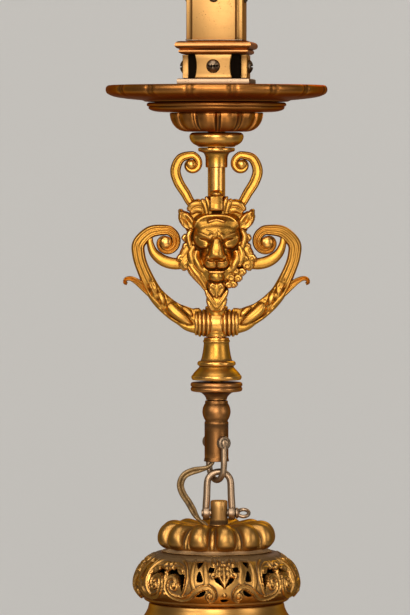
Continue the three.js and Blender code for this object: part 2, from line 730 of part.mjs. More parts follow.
function maskHalfWidth(z) {
  for (let i = 1; i < MASK_OUTLINE.length; i += 1) {
    const [[z0, w0], [z1, w1]] = [MASK_OUTLINE[i - 1], MASK_OUTLINE[i]];
    if (z >= z1) return w0 + ((w1 - w0) * (z - z0)) / (z1 - z0);
  }
  return MASK_OUTLINE.at(-1)[1];
}

// A lion mask cast with a flat back, cut to sit round the stem; the face looks along -Y.
function mask() {
  const [rows, columns] = [17, 10];
  const [top, bottom] = [MASK_OUTLINE[0][0], MASK_OUTLINE.at(-1)[0]];
  const back = -CAST_DEPTH / 2 - CLEAR;
  const edge = 3.2;
  const positions = [];
  for (let i = 0; i <= rows; i += 1) {
    const z = top + ((bottom - top) * i) / rows;
    const half = maskHalfWidth(z);
    positions.push(-half, back, z);
    for (let j = 0; j <= columns; j += 1) {
      const s = (2 * j) / columns - 1;
      const x = half * Math.sign(s) * Math.abs(s) ** 1.15;
      positions.push(x * 0.985, back - edge - maskRise(x, z), z);
    }
    positions.push(half, back, z);
  }
  const across = columns + 3;
  const index = [];
  const quad = (a, b, c, d) => index.push(a, b, c, a, c, d);
  for (let i = 0; i < rows; i += 1) {
    for (let j = 0; j < across; j += 1) {
      const next = (j + 1) % across;
      quad(i * across + j, (i + 1) * across + j, (i + 1) * across + next, i * across + next);
    }
  }
  for (let j = 1; j < across - 1; j += 1) {
    index.push(0, j, j + 1);
    index.push(rows * across, rows * across + j + 1, rows * across + j);
  }
  const geometry = new THREE.BufferGeometry();
  geometry.setAttribute("position", new THREE.Float32BufferAttribute(positions, 3));
  geometry.setIndex(index);
  const ears = [1, -1].map((side) => {
    const stops = [[17, 13, 8], [22, 15.6, 8], [27, 20, 5.4], [29.4, 25, 1.4]];
    const bar = castBar(stops, 7, 3, side);
    return bar.translate([0, back - 3.6, 0]);
  });
  const guard = rod(stemHole, [0, 0, top + 5], [0, 0, bottom - 5], 12);
  return cut(join(solid(geometry), ...ears), guard);
}

for (const [name, side] of [["left", -1], ["right", 1]]) {
  add(upper, "upper_scroll_" + name, upperScroll(side), GILT);
  add(upper, "arm_" + name, arm(side), GILT);
}
add(upper, "hub", hub(), GILT);
for (const [name, turn] of [["front", 0], ["rear", 180]]) {
  const place = subgroup(upper, 0, 0, sleeveBottom - MASK_DROP, turn);
  add(place, "mask_" + name, mask(), GILT);
}

// Column with its bell, bored for the stem above and for the spindle below
function column() {
  const r = COLUMN_RADIUS;
  const b = BELL_RADIUS;
  const bottom = -COLUMN_HEIGHT;
  const spindleHole = SPINDLE_RADIUS + CLEAR;
  const outline = [[stemHole, 0], [r, 0], [r, -2.2], [r + 0.8, -3], [r, -3.8], [r + 2.6, -18.6],
    [r + 5.3, -20], [r + 5.3, -22], [r + 3.4, -23.4], [b - 4, -28.6], [b - 0.4, -31.6], [b - 0.4, bottom],
    [spindleHole, bottom], [spindleHole, -SHOULDER_DROP], [stemHole, -SHOULDER_DROP]];
  return turned(lift(outline, columnTop), 18);
}

add(upper, "column", column(), GILT);

// Everything below the swivel gap
const swivel = subgroup(lantern);
const spindleTop = shoulder + CLEAR + SPINDLE_HEAD;
const spindleBottom = knopTop - 5.5;

function spindle() {
  const outline = [[SPINDLE_BORE, spindleTop], [STEM_RADIUS - 0.2, spindleTop],
    [STEM_RADIUS - 0.2, shoulder + CLEAR],
    [SPINDLE_RADIUS, shoulder + CLEAR], [SPINDLE_RADIUS, spindleBottom], [SPINDLE_BORE, spindleBottom]];
  return turned(outline, 12);
}

function swivelFlange() {
  const hole = SPINDLE_RADIUS + CLEAR;
  const f = FLANGE_RADIUS;
  const outline = [[hole, 0], [f - 1.8, 0], [f, -1.8], [f, -6], [f - 1.6, -7.8], [12.4, -8.8], [9.4, -11],
    [8.3, -FLANGE_HEIGHT], [hole, -FLANGE_HEIGHT]];
  return turned(lift(outline, flangeTop), 22);
}

function dropTube() {
  const k = KNOP_RADIUS;
  const t = TUBE_RADIUS;
  const bottom = -KNOP_HEIGHT - TUBE_LENGTH;
  const spindleHole = SPINDLE_RADIUS + CLEAR;
  const outline = [[spindleHole, 0], [9.2, 0], [9, -2.2], [k - 0.8, -4.6], [k, -8.8], [k - 1, -13],
    [9, -16.4],
    [t, -18], [t, bottom], [TUBE_BORE, bottom], [TUBE_BORE, -15], [spindleHole, -11]];
  const body = turned(lift(outline, knopTop), 20);
  const reach = TUBE_RADIUS + 2;
  const pinHole = rod(UPPER_PIN + CLEAR, [0, -reach, crossPin], [0, reach, crossPin], 12);
  return cut(body, pinHole.rotate([0, 0, UPPER_TURN]));
}

add(swivel, "spindle", spindle(), BRASS);
add(swivel, "swivel_flange", swivelFlange(), COPPER);
add(swivel, "drop_tube", dropTube(), COPPER);

// A shackle bow with its ears: the pin lies along Y through the origin, and the bow hangs or stands along Z.
function shackle(jaw, rodRadius, ear, reach, crown, pin) {
  const earThick = 2 * rodRadius;
  const up = Math.sign(reach);
  const leg = crown + rodRadius;
  const earMiddle = jaw / 2 + earThick / 2;
  const arcZ = reach - up * leg;
  const stops = [[0, -earMiddle, 0], [0, -earMiddle, arcZ * 0.22],
    [0, -leg - (earMiddle - leg) * 0.4, arcZ * 0.6]];
  for (let i = 0; i <= 6; i += 1) {
    const angle = Math.PI * (1 - i / 6);
    stops.push([0, leg * Math.cos(angle), arcZ + up * leg * Math.sin(angle)]);
  }
  const mirrored = stops.slice(0, 3).map(([x, y, z]) => [x, -y, z]).reverse();
  const line = new THREE.CatmullRomCurve3([...stops, ...mirrored].map((at) => new THREE.Vector3(...at)));
  const bow = bent(line, rodRadius, 8, 15);
  const ears = [-1, 1].map((s) => rod(ear, [0, (s * jaw) / 2, 0], [0, s * (jaw / 2 + earThick), 0], 12));
  const room = block([-ear - 2, -jaw / 2, -ear - 2], [ear + 2, jaw / 2, ear + 2]);
  const hole = rod(pin + CLEAR, [0, -jaw, 0], [0, jaw, 0], 12);
  return cut(join(bow, ...ears), room, hole);
}

const upperShackle = subgroup(lantern, 0, 0, crossPin, UPPER_TURN);
const upperJaw = 2 * (TUBE_RADIUS + TUBE_SIDE_GAP);
const upperEnd = upperJaw / 2 + 2 * UPPER_ROD;
add(upperShackle, "upper_shackle",
  shackle(upperJaw, UPPER_ROD, UPPER_EAR, -UPPER_BOW, upperJaw / 2, UPPER_PIN), OLD_STEEL);
add(upperShackle, "upper_pin", rod(UPPER_PIN, [0, -upperEnd - 0.8, 0],
  [0, upperEnd + 0.4, 0], 12), OLD_STEEL);

const lowerShackle = subgroup(lantern, LINK_X, 0, lowerPin, 90);
const lowerJaw = 2 * (CROWN_POST_RADIUS + POST_SIDE_GAP);
const lowerEnd = lowerJaw / 2 + 2 * LOWER_ROD;

function eyePin() {
  const flange = rod(EYE_RADIUS, [0, -lowerEnd - CLEAR, 0], [0, -lowerEnd - CLEAR - 1.4, 0], 12);
  const shank = rod(LOWER_PIN, [0, -lowerEnd - 3, 0], [0, lowerEnd + 1, 0], 12);
  const eye = new THREE.TorusGeometry(EYE_RADIUS, EYE_ROD, 5, 10).rotateY(rad(55));
  eye.translate(0, -lowerEnd - 1.6 - EYE_RADIUS - EYE_ROD * 0.4, 0);
  return join(shank, flange, solid(eye));
}

add(lowerShackle, "lower_shackle",
  shackle(lowerJaw, LOWER_ROD, LOWER_EAR, LOWER_BOW, LOWER_CROWN, LOWER_PIN), OLD_STEEL);
add(lowerShackle, "lower_pin", eyePin(), OLD_STEEL);

// Crown post, dome and pierced band
const body = subgroup(lantern);

function crownPost() {
  const top = lowerPin + CROWN_POST_RISE;
  const foot = crownTop + CLEAR;
  const head = rod(CROWN_POST_RADIUS, [LINK_X, 0, top], [LINK_X, 0, foot], 16);
  const spigot = rod(SPIGOT_RADIUS, [LINK_X, 0, foot + 1], [LINK_X, 0, crownTop - SPIGOT_LENGTH], 10);
  const reach = CROWN_POST_RADIUS + 2;
  const pinHole = rod(LOWER_PIN + CLEAR, [LINK_X - reach, 0, lowerPin], [LINK_X + reach, 0, lowerPin], 12);
  return cut(join(head, spigot), pinHole);
}

function dome() {
  const r = DOME_RADIUS;
  const outline = [[0, 0], [11, 0], [20, 2.2], [31, 3.2], [40.8, 0.2], [r - 1, -5.4], [r, -10],
    [r - 2.4, -15],
    [DOME_BASE - 1.6, -18.2], [DOME_BASE, -DOME_FOOT], [0, -DOME_FOOT]];
  const shape = (radius, z, angle) => {
    const lobed = THREE.MathUtils.smoothstep(radius, 12, 26) * THREE.MathUtils.smoothstep(z, -18, -15);
    const valley = 1 - Math.sqrt(panelWave(angle, DOME_LOBES));
    return radius - DOME_LOBE_DEPTH * lobed * valley;
  };
  const points = outline.map(([radius, z]) => new THREE.Vector2(radius, z));
  const lobes = reshaped(new THREE.LatheGeometry(points, DOME_LOBES * 4).rotateX(Math.PI / 2), shape);
  const whole = solid(lobes.rotateZ(rad(DOME_TURN + 180 / DOME_LOBES)));
  const wall = DOME_BASE - 5;
  const floor = -DOME_FOOT - 1;
  const hollow = turned([[0, -CROWN_PLATE], [wall - 9, -CROWN_PLATE], [wall, -9], [wall, floor],
    [0, floor]], 16);
  const spigotHole = rod(SPIGOT_RADIUS + CLEAR, [LINK_X, 0, 1], [LINK_X, 0, -CROWN_PLATE - 1], 10);
  const flexHole = rod(FLEX_HOLE, [FLEX_HOLE_X, FLEX_Y, 1], [FLEX_HOLE_X, FLEX_Y, -CROWN_PLATE - 1], 8);
  return cut(whole, hollow, spigotHole, flexHole);
}

// Holes of the two motifs of the band: [degrees from the motif's middle, z below the top of the band]
const PALMETTE_HOLES = [
  [[19.6, -4.4], [26, -4.2], [23, -10.6]],
  [[16.6, -12.4], [21.2, -11.2], [22.4, -18], [16.8, -18.6]],
  [[7, -9.6], [10.6, -6.8], [12, -12]],
  [[3, -15.4], [7.6, -16.6], [1.8, -23]],
  [[13, -26.6], [20, -26.2], [25.4, -30.8]],
];
const CARTOUCHE_HOLES = [
  [[4.4, -13], [9, -8.8], [15, -12.6], [16.4, -24], [13, -28.4], [11.6, -19.4]],
];

// Each hole and its mirror image, cut at each place where the motif stands.
function motifCutters(holes, offset) {
  const cutters = [];
  const reach = [BAND_RADIUS - 22, BAND_RADIUS + 8];
  for (let k = 0; k < BAND_MOTIFS; k += 1) {
    const turn = offset + (k * 360) / BAND_MOTIFS;
    for (const outline of holes) {
      const mirrored = outline.map(([degrees, z]) => [-degrees, z]).reverse();
      cutters.push(radialCutter(outline, turn, ...reach), radialCutter(mirrored, turn, ...reach));
    }
  }
  return cutters;
}

function piercedBand() {
  const r = BAND_RADIUS;
  const h = BAND_HEIGHT;
  const w = BAND_WALL;
  const outline = [[r - 22, 0], [r - 9.2, -6], [r - 1.6, -18], [r, -26], [r - 3.4, -34], [r - 12, -h],
    [r - 15, -h], [r - w - 2, -32], [r - w - 1, -20], [r - 18, -w], [r - 28, -w], [r - 28, 0]];
  const shell = turned(outline, 32);
  const palmettes = motifCutters(PALMETTE_HOLES, BAND_TURN);
  const cartouches = motifCutters(CARTOUCHE_HOLES, BAND_TURN + 180 / BAND_MOTIFS);
  return cut(shell, ...palmettes, ...cartouches);
}

function bandLining() {
  const [top, bottom] = [bandTop - BAND_WALL - CLEAR, bandBottom];
  const outer = LINING_RADIUS;
  const inner = outer - LINING_WALL;
  return turned([[inner, top], [outer, top], [outer, bottom], [inner, bottom]], 20);
}

add(body, "crown_post", crownPost(), BRASS);
const domeUnder = crownTop - CROWN_PLATE - CLEAR;
add(body, "crown_nut", nut(POST_NUT_SIZE, SPIGOT_RADIUS + CLEAR, domeUnder, POST_NUT_HEIGHT, LINK_X), BRASS);
const domeMesh = add(body, "dome", dome(), GILT);
domeMesh.position.z = crownTop;
const bandMesh = add(body, "pierced_band", piercedBand(), GILT);
bandMesh.position.z = bandTop;
add(body, "band_lining", bandLining(), DARK_BRONZE);

// Roof, glass, bars and ring of the body
const hangerHole = CARRIER_RADIUS + CLEAR;

function roof() {
  const n = NECK_RADIUS;
  const R = GLASS_RADIUS + ROOF_OVERHANG;
  const w = ROOF_WALL;
  const h = ROOF_HEIGHT;
  const eave = h - ROOF_RIM;
  const outline = [[hangerHole, 0], [n - 0.6, 0], [n + 1.2, -5], [n + 5.4, -12.6], [n + 16, -25],
    [R - 9, -eave + 6], [R, -eave], [R, -h], [R - 4, -h], [R - 4, -eave - w],
    [R - 12, -eave + 6 - w], [n + 15, -25 - w], [n - 2, -ROOF_PLATE], [hangerHole, -ROOF_PLATE]];
  const shell = turned(lift(outline, roofTop), 32);
  const holes = tieAngles().map((angle) => {
    const [x, y] = [TIE_CIRCLE * Math.cos(angle), TIE_CIRCLE * Math.sin(angle)];
    return rod(TIE_RADIUS + CLEAR, [x, y, roofTop + 1], [x, y, roofTop - ROOF_PLATE - 1], 6);
  });
  return cut(shell, ...holes);
}

// Angles of the bolts that draw the dome, the band and the roof together
function tieAngles() {
  return Array.from({ length: TIE_COUNT }, (_, k) => ((k + 0.5) / TIE_COUNT) * 2 * Math.PI);
}

// A bolt with its head under the roof plate.
function tieBolt(angle) {
  const [x, y] = [TIE_CIRCLE * Math.cos(angle), TIE_CIRCLE * Math.sin(angle)];
  const headTop = roofTop - ROOF_PLATE - CLEAR;
  const head = rod(TIE_HEAD, [x, y, headTop], [x, y, headTop - 3.5], 6);
  return join(head, rod(TIE_RADIUS, [x, y, headTop - 1], [x, y, domeUnder], 6));
}

const glassTop = roofBottom + REBATE;
const glassBottom = glassTop - GLASS_HEIGHT;
const lowerTop = glassBottom + REBATE;
const barRadius = GLASS_RADIUS + 2.6;

function glassCylinder() {
  const inner = GLASS_RADIUS - GLASS_WALL;
  return turned([[inner, glassTop], [GLASS_RADIUS, glassTop], [GLASS_RADIUS, glassBottom],
    [inner, glassBottom]], 28);
}

function glazingBar() {
  const [top, bottom] = [roofBottom - CLEAR, lowerTop + CLEAR];
  const half = BAR_WIDTH / 2;
  const plan = new THREE.Shape();
  plan.moveTo(-half, -barRadius);
  plan.lineTo(-half + 1, -barRadius - BAR_THICK * 0.7);
  plan.quadraticCurveTo(0, -barRadius - BAR_THICK * 1.2, half - 1, -barRadius - BAR_THICK * 0.7);
  plan.lineTo(half, -barRadius);
  const bar = new THREE.ExtrudeGeometry(plan, { depth: top - bottom, bevelEnabled: false,
    curveSegments: 3 });
  return solid(bar.translate(0, 0, bottom));
}

function lowerRing() {
  const [g, i] = [GLASS_RADIUS + CLEAR, GLASS_RADIUS - LOWER_RING_LIP];
  const out = barRadius + BAR_THICK + 1;
  const floor = -REBATE - CLEAR;
  const outline = [[g, 0], [out - 0.6, 0], [out, -4], [out - 3.2, -6.4], [out - 1.4, -9.4],
    [out - 2, -LOWER_RING_HEIGHT], [i, -LOWER_RING_HEIGHT], [i, floor], [g, floor]];
  return join(turned(lift(outline, lowerTop), 28), ...barTurns().map(bud));
}

// Turns of the glazing bars and of the buds under them, in degrees
function barTurns() {
  return Array.from({ length: BAR_COUNT }, (_, k) => ((k + 0.5) / BAR_COUNT) * 360);
}

function bud(turn) {
  const b = BUD_RADIUS;
  const outline = [[0, 1], [b * 0.6, 1], [b * 0.5, -3], [b, -8], [b * 0.7, -14], [0, -BUD_HEIGHT]];
  const points = outline.map(([r, z]) => new THREE.Vector2(r, z));
  const at = barRadius - 1;
  const drop = new THREE.LatheGeometry(points, 8).rotateX(Math.PI / 2);
  drop.translate(0, -at, lowerTop - LOWER_RING_HEIGHT);
  return solid(drop.rotateZ(rad(turn)));
}

add(body, "roof", roof(), GILT);
tieAngles().forEach((angle, k) => add(body, "tie_bolt_" + (k + 1), tieBolt(angle), BRASS));
add(body, "glass", glassCylinder(), GLASS);
add(body, "lower_ring", lowerRing(), GILT);
barTurns().forEach((turn, k) => {
  const place = subgroup(body, 0, 0, 0, turn);
  add(place, "glazing_bar_" + (k + 1), glazingBar(), GILT);
});

// Carrier tube, lampholder and bulb
const carrierTop = roofTop + CLEAR + CARRIER_FLANGE_THICK;

function carrier() {
  const seat = roofTop + CLEAR;
  const outline = [[CARRIER_BORE, carrierTop], [CARRIER_FLANGE, carrierTop], [CARRIER_FLANGE, seat],
    [CARRIER_RADIUS, seat], [CARRIER_RADIUS, carrierTop - CARRIER_LENGTH],
    [CARRIER_BORE, carrierTop - CARRIER_LENGTH]];
  return turned(outline, 12);
}

const holderTop = carrierTop - CARRIER_LENGTH + HOLDER_GRIP;

function lampholder() {
  const h = HOLDER_HEIGHT;
  const r = HOLDER_RADIUS;
  const throat = BULB_CAP + CLEAR;
  const outline = [[CARRIER_RADIUS + CLEAR, 0], [9, 0], [r - 2, -5], [r, -10], [r, -h], [throat, -h],
    [throat, -14],
    [CARRIER_RADIUS + CLEAR, -11]];
  return turned(lift(outline, holderTop), 14);
}

function bulb() {
  const R = BULB_RADIUS;
  const H = BULB_HEIGHT;
  const cap = holderTop - 15;
  const outline = [[0, 0], [BULB_CAP - 2, 0], [BULB_CAP, -2], [BULB_CAP, -H * 0.32], [R * 0.8, -H * 0.5],
    [R, -H + R], [R * 0.84, -H + R * 0.37], [0, -H]];
  const points = outline.map(([r, z]) => new THREE.Vector2(r, z + cap));
  return solid(new THREE.LatheGeometry(points, 14).rotateX(Math.PI / 2));
}

add(body, "carrier_tube", carrier(), BRASS);
add(body, "lampholder", lampholder(), CERAMIC);
add(body, "bulb", bulb(), GLASS);

// Twin flex from the mouth of the tube into the crown. Each stop of its middle line is [x, z, turn], with z
// counted from the crown's top; at turn 1 both strands face the front, and at 0 one lies behind the other.
const FLEX_ROUTE = [
  [-3.6, 57, 0], [-4.2, 52.6, 0], [-7, 49, 0.2], [-12, 47.2, 0.5], [-18.6, 45.4, 1], [-24.6, 42.2, 1],
  [-28, 37.2, 1], [-28.8, 31.4, 0.9], [-26.6, 25.2, 0.8], [-22.6, 19.2, 0.8], [-19.4, 13.6, 0.8],
  [-16.8, 8.6, 0.4], [-13.4, 4.4, 0], [-9.9, 1.8, 0], [-8, -0.8, 0], [-7.6, -4.6, 0],
];

function flex() {
  const stops = FLEX_ROUTE.map(([x, z, turn]) => [x, z + crownTop, (2.2 + 1.8 * turn) * STRAND_RADIUS]);
  return castBar(stops, 2 * STRAND_RADIUS, 24).translate([0, FLEX_Y, 0]);
}

add(body, "flex", flex(), FLEX);

export default lantern;
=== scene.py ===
"""Gilt bronze hanging lantern with lion masks, dressed on its CAD frame."""
import json
import math
import bmesh
import bpy
import numpy as np
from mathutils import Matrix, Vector


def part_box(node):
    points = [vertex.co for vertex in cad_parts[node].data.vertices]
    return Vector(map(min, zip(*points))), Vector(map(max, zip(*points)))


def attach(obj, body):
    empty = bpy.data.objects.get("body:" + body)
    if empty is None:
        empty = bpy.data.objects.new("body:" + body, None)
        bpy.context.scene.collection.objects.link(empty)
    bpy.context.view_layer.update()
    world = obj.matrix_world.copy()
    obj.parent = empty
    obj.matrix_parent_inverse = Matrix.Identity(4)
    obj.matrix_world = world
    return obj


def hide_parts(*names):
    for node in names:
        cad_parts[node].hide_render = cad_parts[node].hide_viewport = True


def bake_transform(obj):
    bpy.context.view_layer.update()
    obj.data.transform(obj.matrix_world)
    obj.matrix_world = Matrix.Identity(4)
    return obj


bl_info = {
    "name": "Bronze Lantern",
    "version": (1, 0, 0),
    "blender": (4, 5, 0),
    "location": "View3D > Sidebar > Lantern",
    "description": "Builds the visible surfaces of a gilt bronze hanging lantern",
    "category": "Object",
}

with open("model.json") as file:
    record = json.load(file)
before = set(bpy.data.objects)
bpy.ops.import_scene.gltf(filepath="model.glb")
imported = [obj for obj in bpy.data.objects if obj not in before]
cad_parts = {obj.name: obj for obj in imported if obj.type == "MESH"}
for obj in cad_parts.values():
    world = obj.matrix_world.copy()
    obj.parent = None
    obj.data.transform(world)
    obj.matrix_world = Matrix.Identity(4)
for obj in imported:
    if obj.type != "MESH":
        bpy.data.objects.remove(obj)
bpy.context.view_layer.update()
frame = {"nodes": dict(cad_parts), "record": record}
BODY_OF = {
    node: body
    for body, nodes in frame["record"]["behaviour"]["bodies"].items()
    for node in nodes
}
SQUARE_TURN = math.radians(-6)
BAND_TURN = math.radians(5.4)
DOME_RISE = 20.4
SIDES = ("front", "right", "back", "left")


def level(node, end):
    """The height of a CAD node's top (1) or bottom (0), in millimetres."""
    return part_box(node)[end].z * 1000


def middle_level(node):
    """The height of a CAD node's middle."""
    return (level(node, 0) + level(node, 1)) / 2


def crown_level():
    """The height of the dome's flat middle."""
    return level("pierced_band", 1) + DOME_RISE


# Lines and outlines


def smoothstep(low, high, value):
    t = np.clip((value - low) / (high - low), 0, 1)
    return t * t * (3 - 2 * t)


def rounded(outline, times=1, closed=False):
    """Cuts the corners of an outline, so that it reads as a soft moulding."""
    points = np.array(outline, float)
    for _ in range(times):
        after = np.roll(points, -1, 0) if closed else points[1:]
        before = points if closed else points[:-1]
        fine = np.empty((2 * len(before), 2))
        fine[0::2] = before * 0.75 + after * 0.25
        fine[1::2] = before * 0.25 + after * 0.75
        points = fine if closed else np.vstack([points[:1], fine, points[-1:]])
    return points


def catmull(points, per_span):
    """A smooth line through points of any dimension, with per_span steps between two of them."""
    p = np.array(points, float)
    p = np.vstack([2 * p[0] - p[1], p, 2 * p[-1] - p[-2]])
    line = []
    for a, b, c, d in zip(p, p[1:], p[2:], p[3:]):
        for t in np.arange(per_span) / per_span:
            line.append(0.5 * (2 * b + (c - a) * t + (2 * a - 5 * b + 4 * c - d) * t * t
                               + (3 * b - a - 3 * c + d) * t ** 3))
    line.append(p[-2])
    return np.array(line)


def bearings(count):
    """Evenly spaced angles of a full turn."""
    return np.arange(count) / count * 2 * math.pi


def circle(radius, sides):
    angle = bearings(sides)
    return np.column_stack([radius * np.cos(angle), radius * np.sin(angle)])


def direction(line):
    """The unit direction at each point of a line."""
    along = np.gradient(line, axis=0)
    return along / np.linalg.norm(along, axis=1)[:, None]


def way_along(line):
    """How far along a line each of its points is."""
    return np.concatenate([[0], np.cumsum(np.linalg.norm(np.diff(line, axis=0), axis=1))])


def moved(points, x=0, y=0, z=0, turn=0):
    """Points turned round Z by turn, then moved."""
    p = np.asarray(points, float)
    c, s = math.cos(turn), math.sin(turn)
    return np.column_stack([p[:, 0] * c - p[:, 1] * s + x, p[:, 0] * s + p[:, 1] * c + y, p[:, 2] + z])


# Meshes


def grid_faces(rows, columns, wrap=False):
    """Quads between the points of a grid stored row by row."""
    reach = columns if wrap else columns - 1
    i, j = np.meshgrid(np.arange(rows - 1), np.arange(reach), indexing="ij")
    k = (j + 1) % columns
    a, b = i * columns + j, i * columns + k
    return np.stack([a, b, b + columns, a + columns], -1).reshape(-1, 4)


def tube_faces(rows, columns):
    """The faces of a tube stored ring by ring, closed at both ends."""
    first = list(range(columns))[::-1]
    last = list(range((rows - 1) * columns, rows * columns))
    return [*grid_faces(rows, columns, wrap=True), first, last]


def linked(name, mesh):
    """A new object of the scene with that mesh."""
    obj = bpy.data.objects.new(name, mesh)
    bpy.context.scene.collection.objects.link(obj)
    return obj


def make_mesh(name, points, faces):
    """A mesh object from points in millimetres; faces are lists of corners."""
    mesh = bpy.data.meshes.new(name)
    mesh.from_pydata((np.asarray(points) * 0.001).tolist(), [], [list(map(int, f)) for f in faces])
    mesh.validate()
    return linked(name, mesh)


def tidy(obj, outward=True):
    """Merges doubled points and turns every face outwards."""
    work = bmesh.new()
    work.from_mesh(obj.data)
    bmesh.ops.remove_doubles(work, verts=work.verts, dist=0.00001)
    bmesh.ops.dissolve_degenerate(work, edges=work.edges, dist=1e-7)
    if outward:
        bmesh.ops.recalc_face_normals(work, faces=work.faces)
        whole = not any(edge.is_boundary for edge in work.edges)
        if whole and work.calc_volume(signed=True) < 0:
            bmesh.ops.reverse_faces(work, faces=work.faces)
    work.to_mesh(obj.data)
    work.free()
    return obj


def drop_loose_points(work):
    """Deletes the points of a mesh under edit that no face uses."""
    bmesh.ops.delete(work, geom=[v for v in work.verts if not v.link_faces], context="VERTS")


def face_along(obj, wanted):
    """Turns a mesh over if its faces look away from wanted(middle of a face)."""
    mesh = obj.data
    if sum(p.normal.dot(wanted(p.center)) for p in mesh.polygons) < 0:
        mesh.flip_normals()


def placed(obj, x=0, y=0, z=0, turn=0):
    """Moves an unfinished piece's points."""
    place = moved(coordinates(obj.data), x * 0.001, y * 0.001, z * 0.001, turn)
    obj.data.vertices.foreach_set("co", place.ravel())
    obj.data.update()
    return obj


def coordinates(mesh, of="co"):
    """The points of a mesh, or another vector that each point has, as rows."""
    values = np.empty(len(mesh.vertices) * 3)
    mesh.vertices.foreach_get(of, values)
    return values.reshape(-1, 3)


def joined(name, *pieces):
    """One object from several."""
    work = bmesh.new()
    for piece in pieces:
        work.from_mesh(piece.data)
        bpy.data.objects.remove(piece)
    mesh = bpy.data.meshes.new(name)
    work.to_mesh(mesh)
    work.free()
    return linked(name, mesh)


def turned(name, outline, top, sides, rounds=1, shape=None, closed=False, x=0):
    """A piece turned round Z from an outline of [radius, height over top], whose corners are cut in rounds.
    shape(radius, height, angle) gives new radii. A closed outline ends where it starts."""
    line = rounded(outline, rounds, closed) + [0, top]
    if closed:
        line = np.vstack([line, line[:1]])
    angle = np.repeat((bearings(sides) - math.pi / 2)[None], len(line), 0)
    radius = np.repeat(line[:, :1], sides, 1)
    height = np.repeat(line[:, 1:], sides, 1)
    if shape is not None:
        radius = shape(radius, height, angle)
    points = np.stack([radius * np.cos(angle) + x, radius * np.sin(angle), height], -1)
    return tidy(make_mesh(name, points.reshape(-1, 3), grid_faces(len(line), sides, wrap=True)))


def spun(name, line, sides, x=0, z=0, shape=None, lengthwise=False):
    """A piece turned round a level axis through x and z, from a line of [radius, way along the axis].
    The axis lies along Y, or along X if lengthwise; shape(points) gives new points."""
    points = np.array([[x + r * math.cos(a), y, z + r * math.sin(a)] for r,
                       y in line for a in bearings(sides)])
    if lengthwise:
        points = points[:, [1, 0, 2]]
    if shape is not None:
        points = shape(points)
    return tidy(make_mesh(name, points, grid_faces(len(line), sides, wrap=True)))


def squared(name, outline, top, rounds=1):
    """A moulding square in plan, mitred at its corners; the outline is [half side, height over top]."""
    per_side = 10
    t = np.arange(per_side) / per_side * 2 - 1
    one = np.ones(per_side)
    loop = np.vstack([np.column_stack(side) for side in ((t, -one), (one, t), (-t, one), (-one, -t))])
    line = rounded(outline, rounds) + [0, top]
    rings = [np.column_stack([loop * half, np.full(len(loop), z)]) for half, z in line]
    points = moved(np.vstack(rings), turn=SQUARE_TURN)
    return tidy(make_mesh(name, points, grid_faces(len(line), len(loop), wrap=True)))


def prism(name, first, second):
    """A solid between two outlines that have as many points."""
    return tidy(make_mesh(name, np.vstack([first, second]), tube_faces(2, len(first))))


def swept(name, line, section, across=None, closed_ends=True):
    """A section carried along a line. section(t) gives [u, v] points in millimetres at that part of the way;
    u lies along the given side direction of each point of the line, and v at right angles to it."""
    line = np.asarray(line, float)
    count = len(line)
    along = direction(line)
    if across is None:
        side = np.array([0, 1.0, 0]) - along * along[:, 1:2]
        across = side / np.linalg.norm(side, axis=1)[:, None]
    other = np.cross(along, across)
    rings = []
    for i in range(count):
        uv = section(i / (count - 1))
        rings.append(line[i] + uv[:, :1] * across[i] + uv[:, 1:] * other[i])
    faces = tube_faces(count, len(rings[0]))
    return tidy(make_mesh(name, np.vstack(rings), faces if closed_ends else faces[:-2]))


def applied(obj):
    """The object with its modifiers' result as its mesh."""
    bpy.context.view_layer.update()
    result = obj.evaluated_get(bpy.context.evaluated_depsgraph_get())
    mesh = bpy.data.meshes.new_from_object(result)
    obj.modifiers.clear()
    obj.data = mesh
    return obj


def bevelled(obj, width, segments, angle):
    """The object's mesh with its sharp edges rounded; width is in millimetres."""
    bevel = obj.modifiers.new("Edge", "BEVEL")
    bevel.width = width * 0.001
    bevel.segments = segments
    bevel.limit_method = "ANGLE"
    bevel.angle_limit = math.radians(angle)
    return applied(obj)


# Finished pieces


def store_relief(mesh, rounds, reach, extra):
    """Stores how far each point stands out of (1) or lies in (-1) the surface round it.
    extra(points in millimetres) is added to that: for dust where no hollow is, for painted shade in the
    corner coves of the post, and to make whole pieces less dirty and more rubbed."""
    count = len(mesh.vertices)
    place = coordinates(mesh) * 1000
    edges = np.empty(len(mesh.edges) * 2, np.int64)
    mesh.edges.foreach_get("vertices", edges)
    start, end = edges.reshape(-1, 2).T
    degree = np.maximum(np.bincount(edges, minlength=count), 1)
    soft = place.copy()
    for _ in range(rounds):
        for axis in range(3):
            near = np.bincount(start, soft[end, axis], count) + np.bincount(end, soft[start, axis], count)
            soft[:, axis] = 0.35 * soft[:, axis] + 0.65 * near / degree
    rise = ((place - soft) * coordinates(mesh, "normal")).sum(1) / reach
    if extra is not None:
        rise = rise + extra(place)
    relief = mesh.attributes.new("relief", "FLOAT", "POINT")
    relief.data.foreach_set("value", np.clip(rise, -1, 1).astype(np.float32))


def smooth(mesh):
    mesh.polygons.foreach_set("use_smooth", [True] * len(mesh.polygons))


def finish_piece(obj, material, *nodes, sharp=38, relief=(10, 0.5), extra=None):
    """Shades a finished mesh, and lets it ride where its CAD nodes ride, in their place."""
    mesh = obj.data
    smooth(mesh)
    mesh.set_sharp_from_angle(angle=math.radians(sharp))
    store_relief(mesh, *relief, extra)
    mesh.materials.clear()
    mesh.materials.append(material)
    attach(obj, BODY_OF[nodes[0]])
    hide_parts(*nodes)


def finish_turned(material, node, outline, sides, rounds=1, shape=None, closed=False, x=0, **looks):
    """A turned piece in its CAD node's place; the outline's heights are over the node's top."""
    piece = turned(node + "_dressed", outline, level(node, 1), sides, rounds, shape, closed, x)
    finish_piece(piece, material, node, **looks)


def painted(material, *nodes):
    """Gives CAD nodes that stay as they are their finish."""
    for node in nodes:
        mesh = frame["nodes"][node].data
        mesh.materials.clear()
        mesh.materials.append(material)


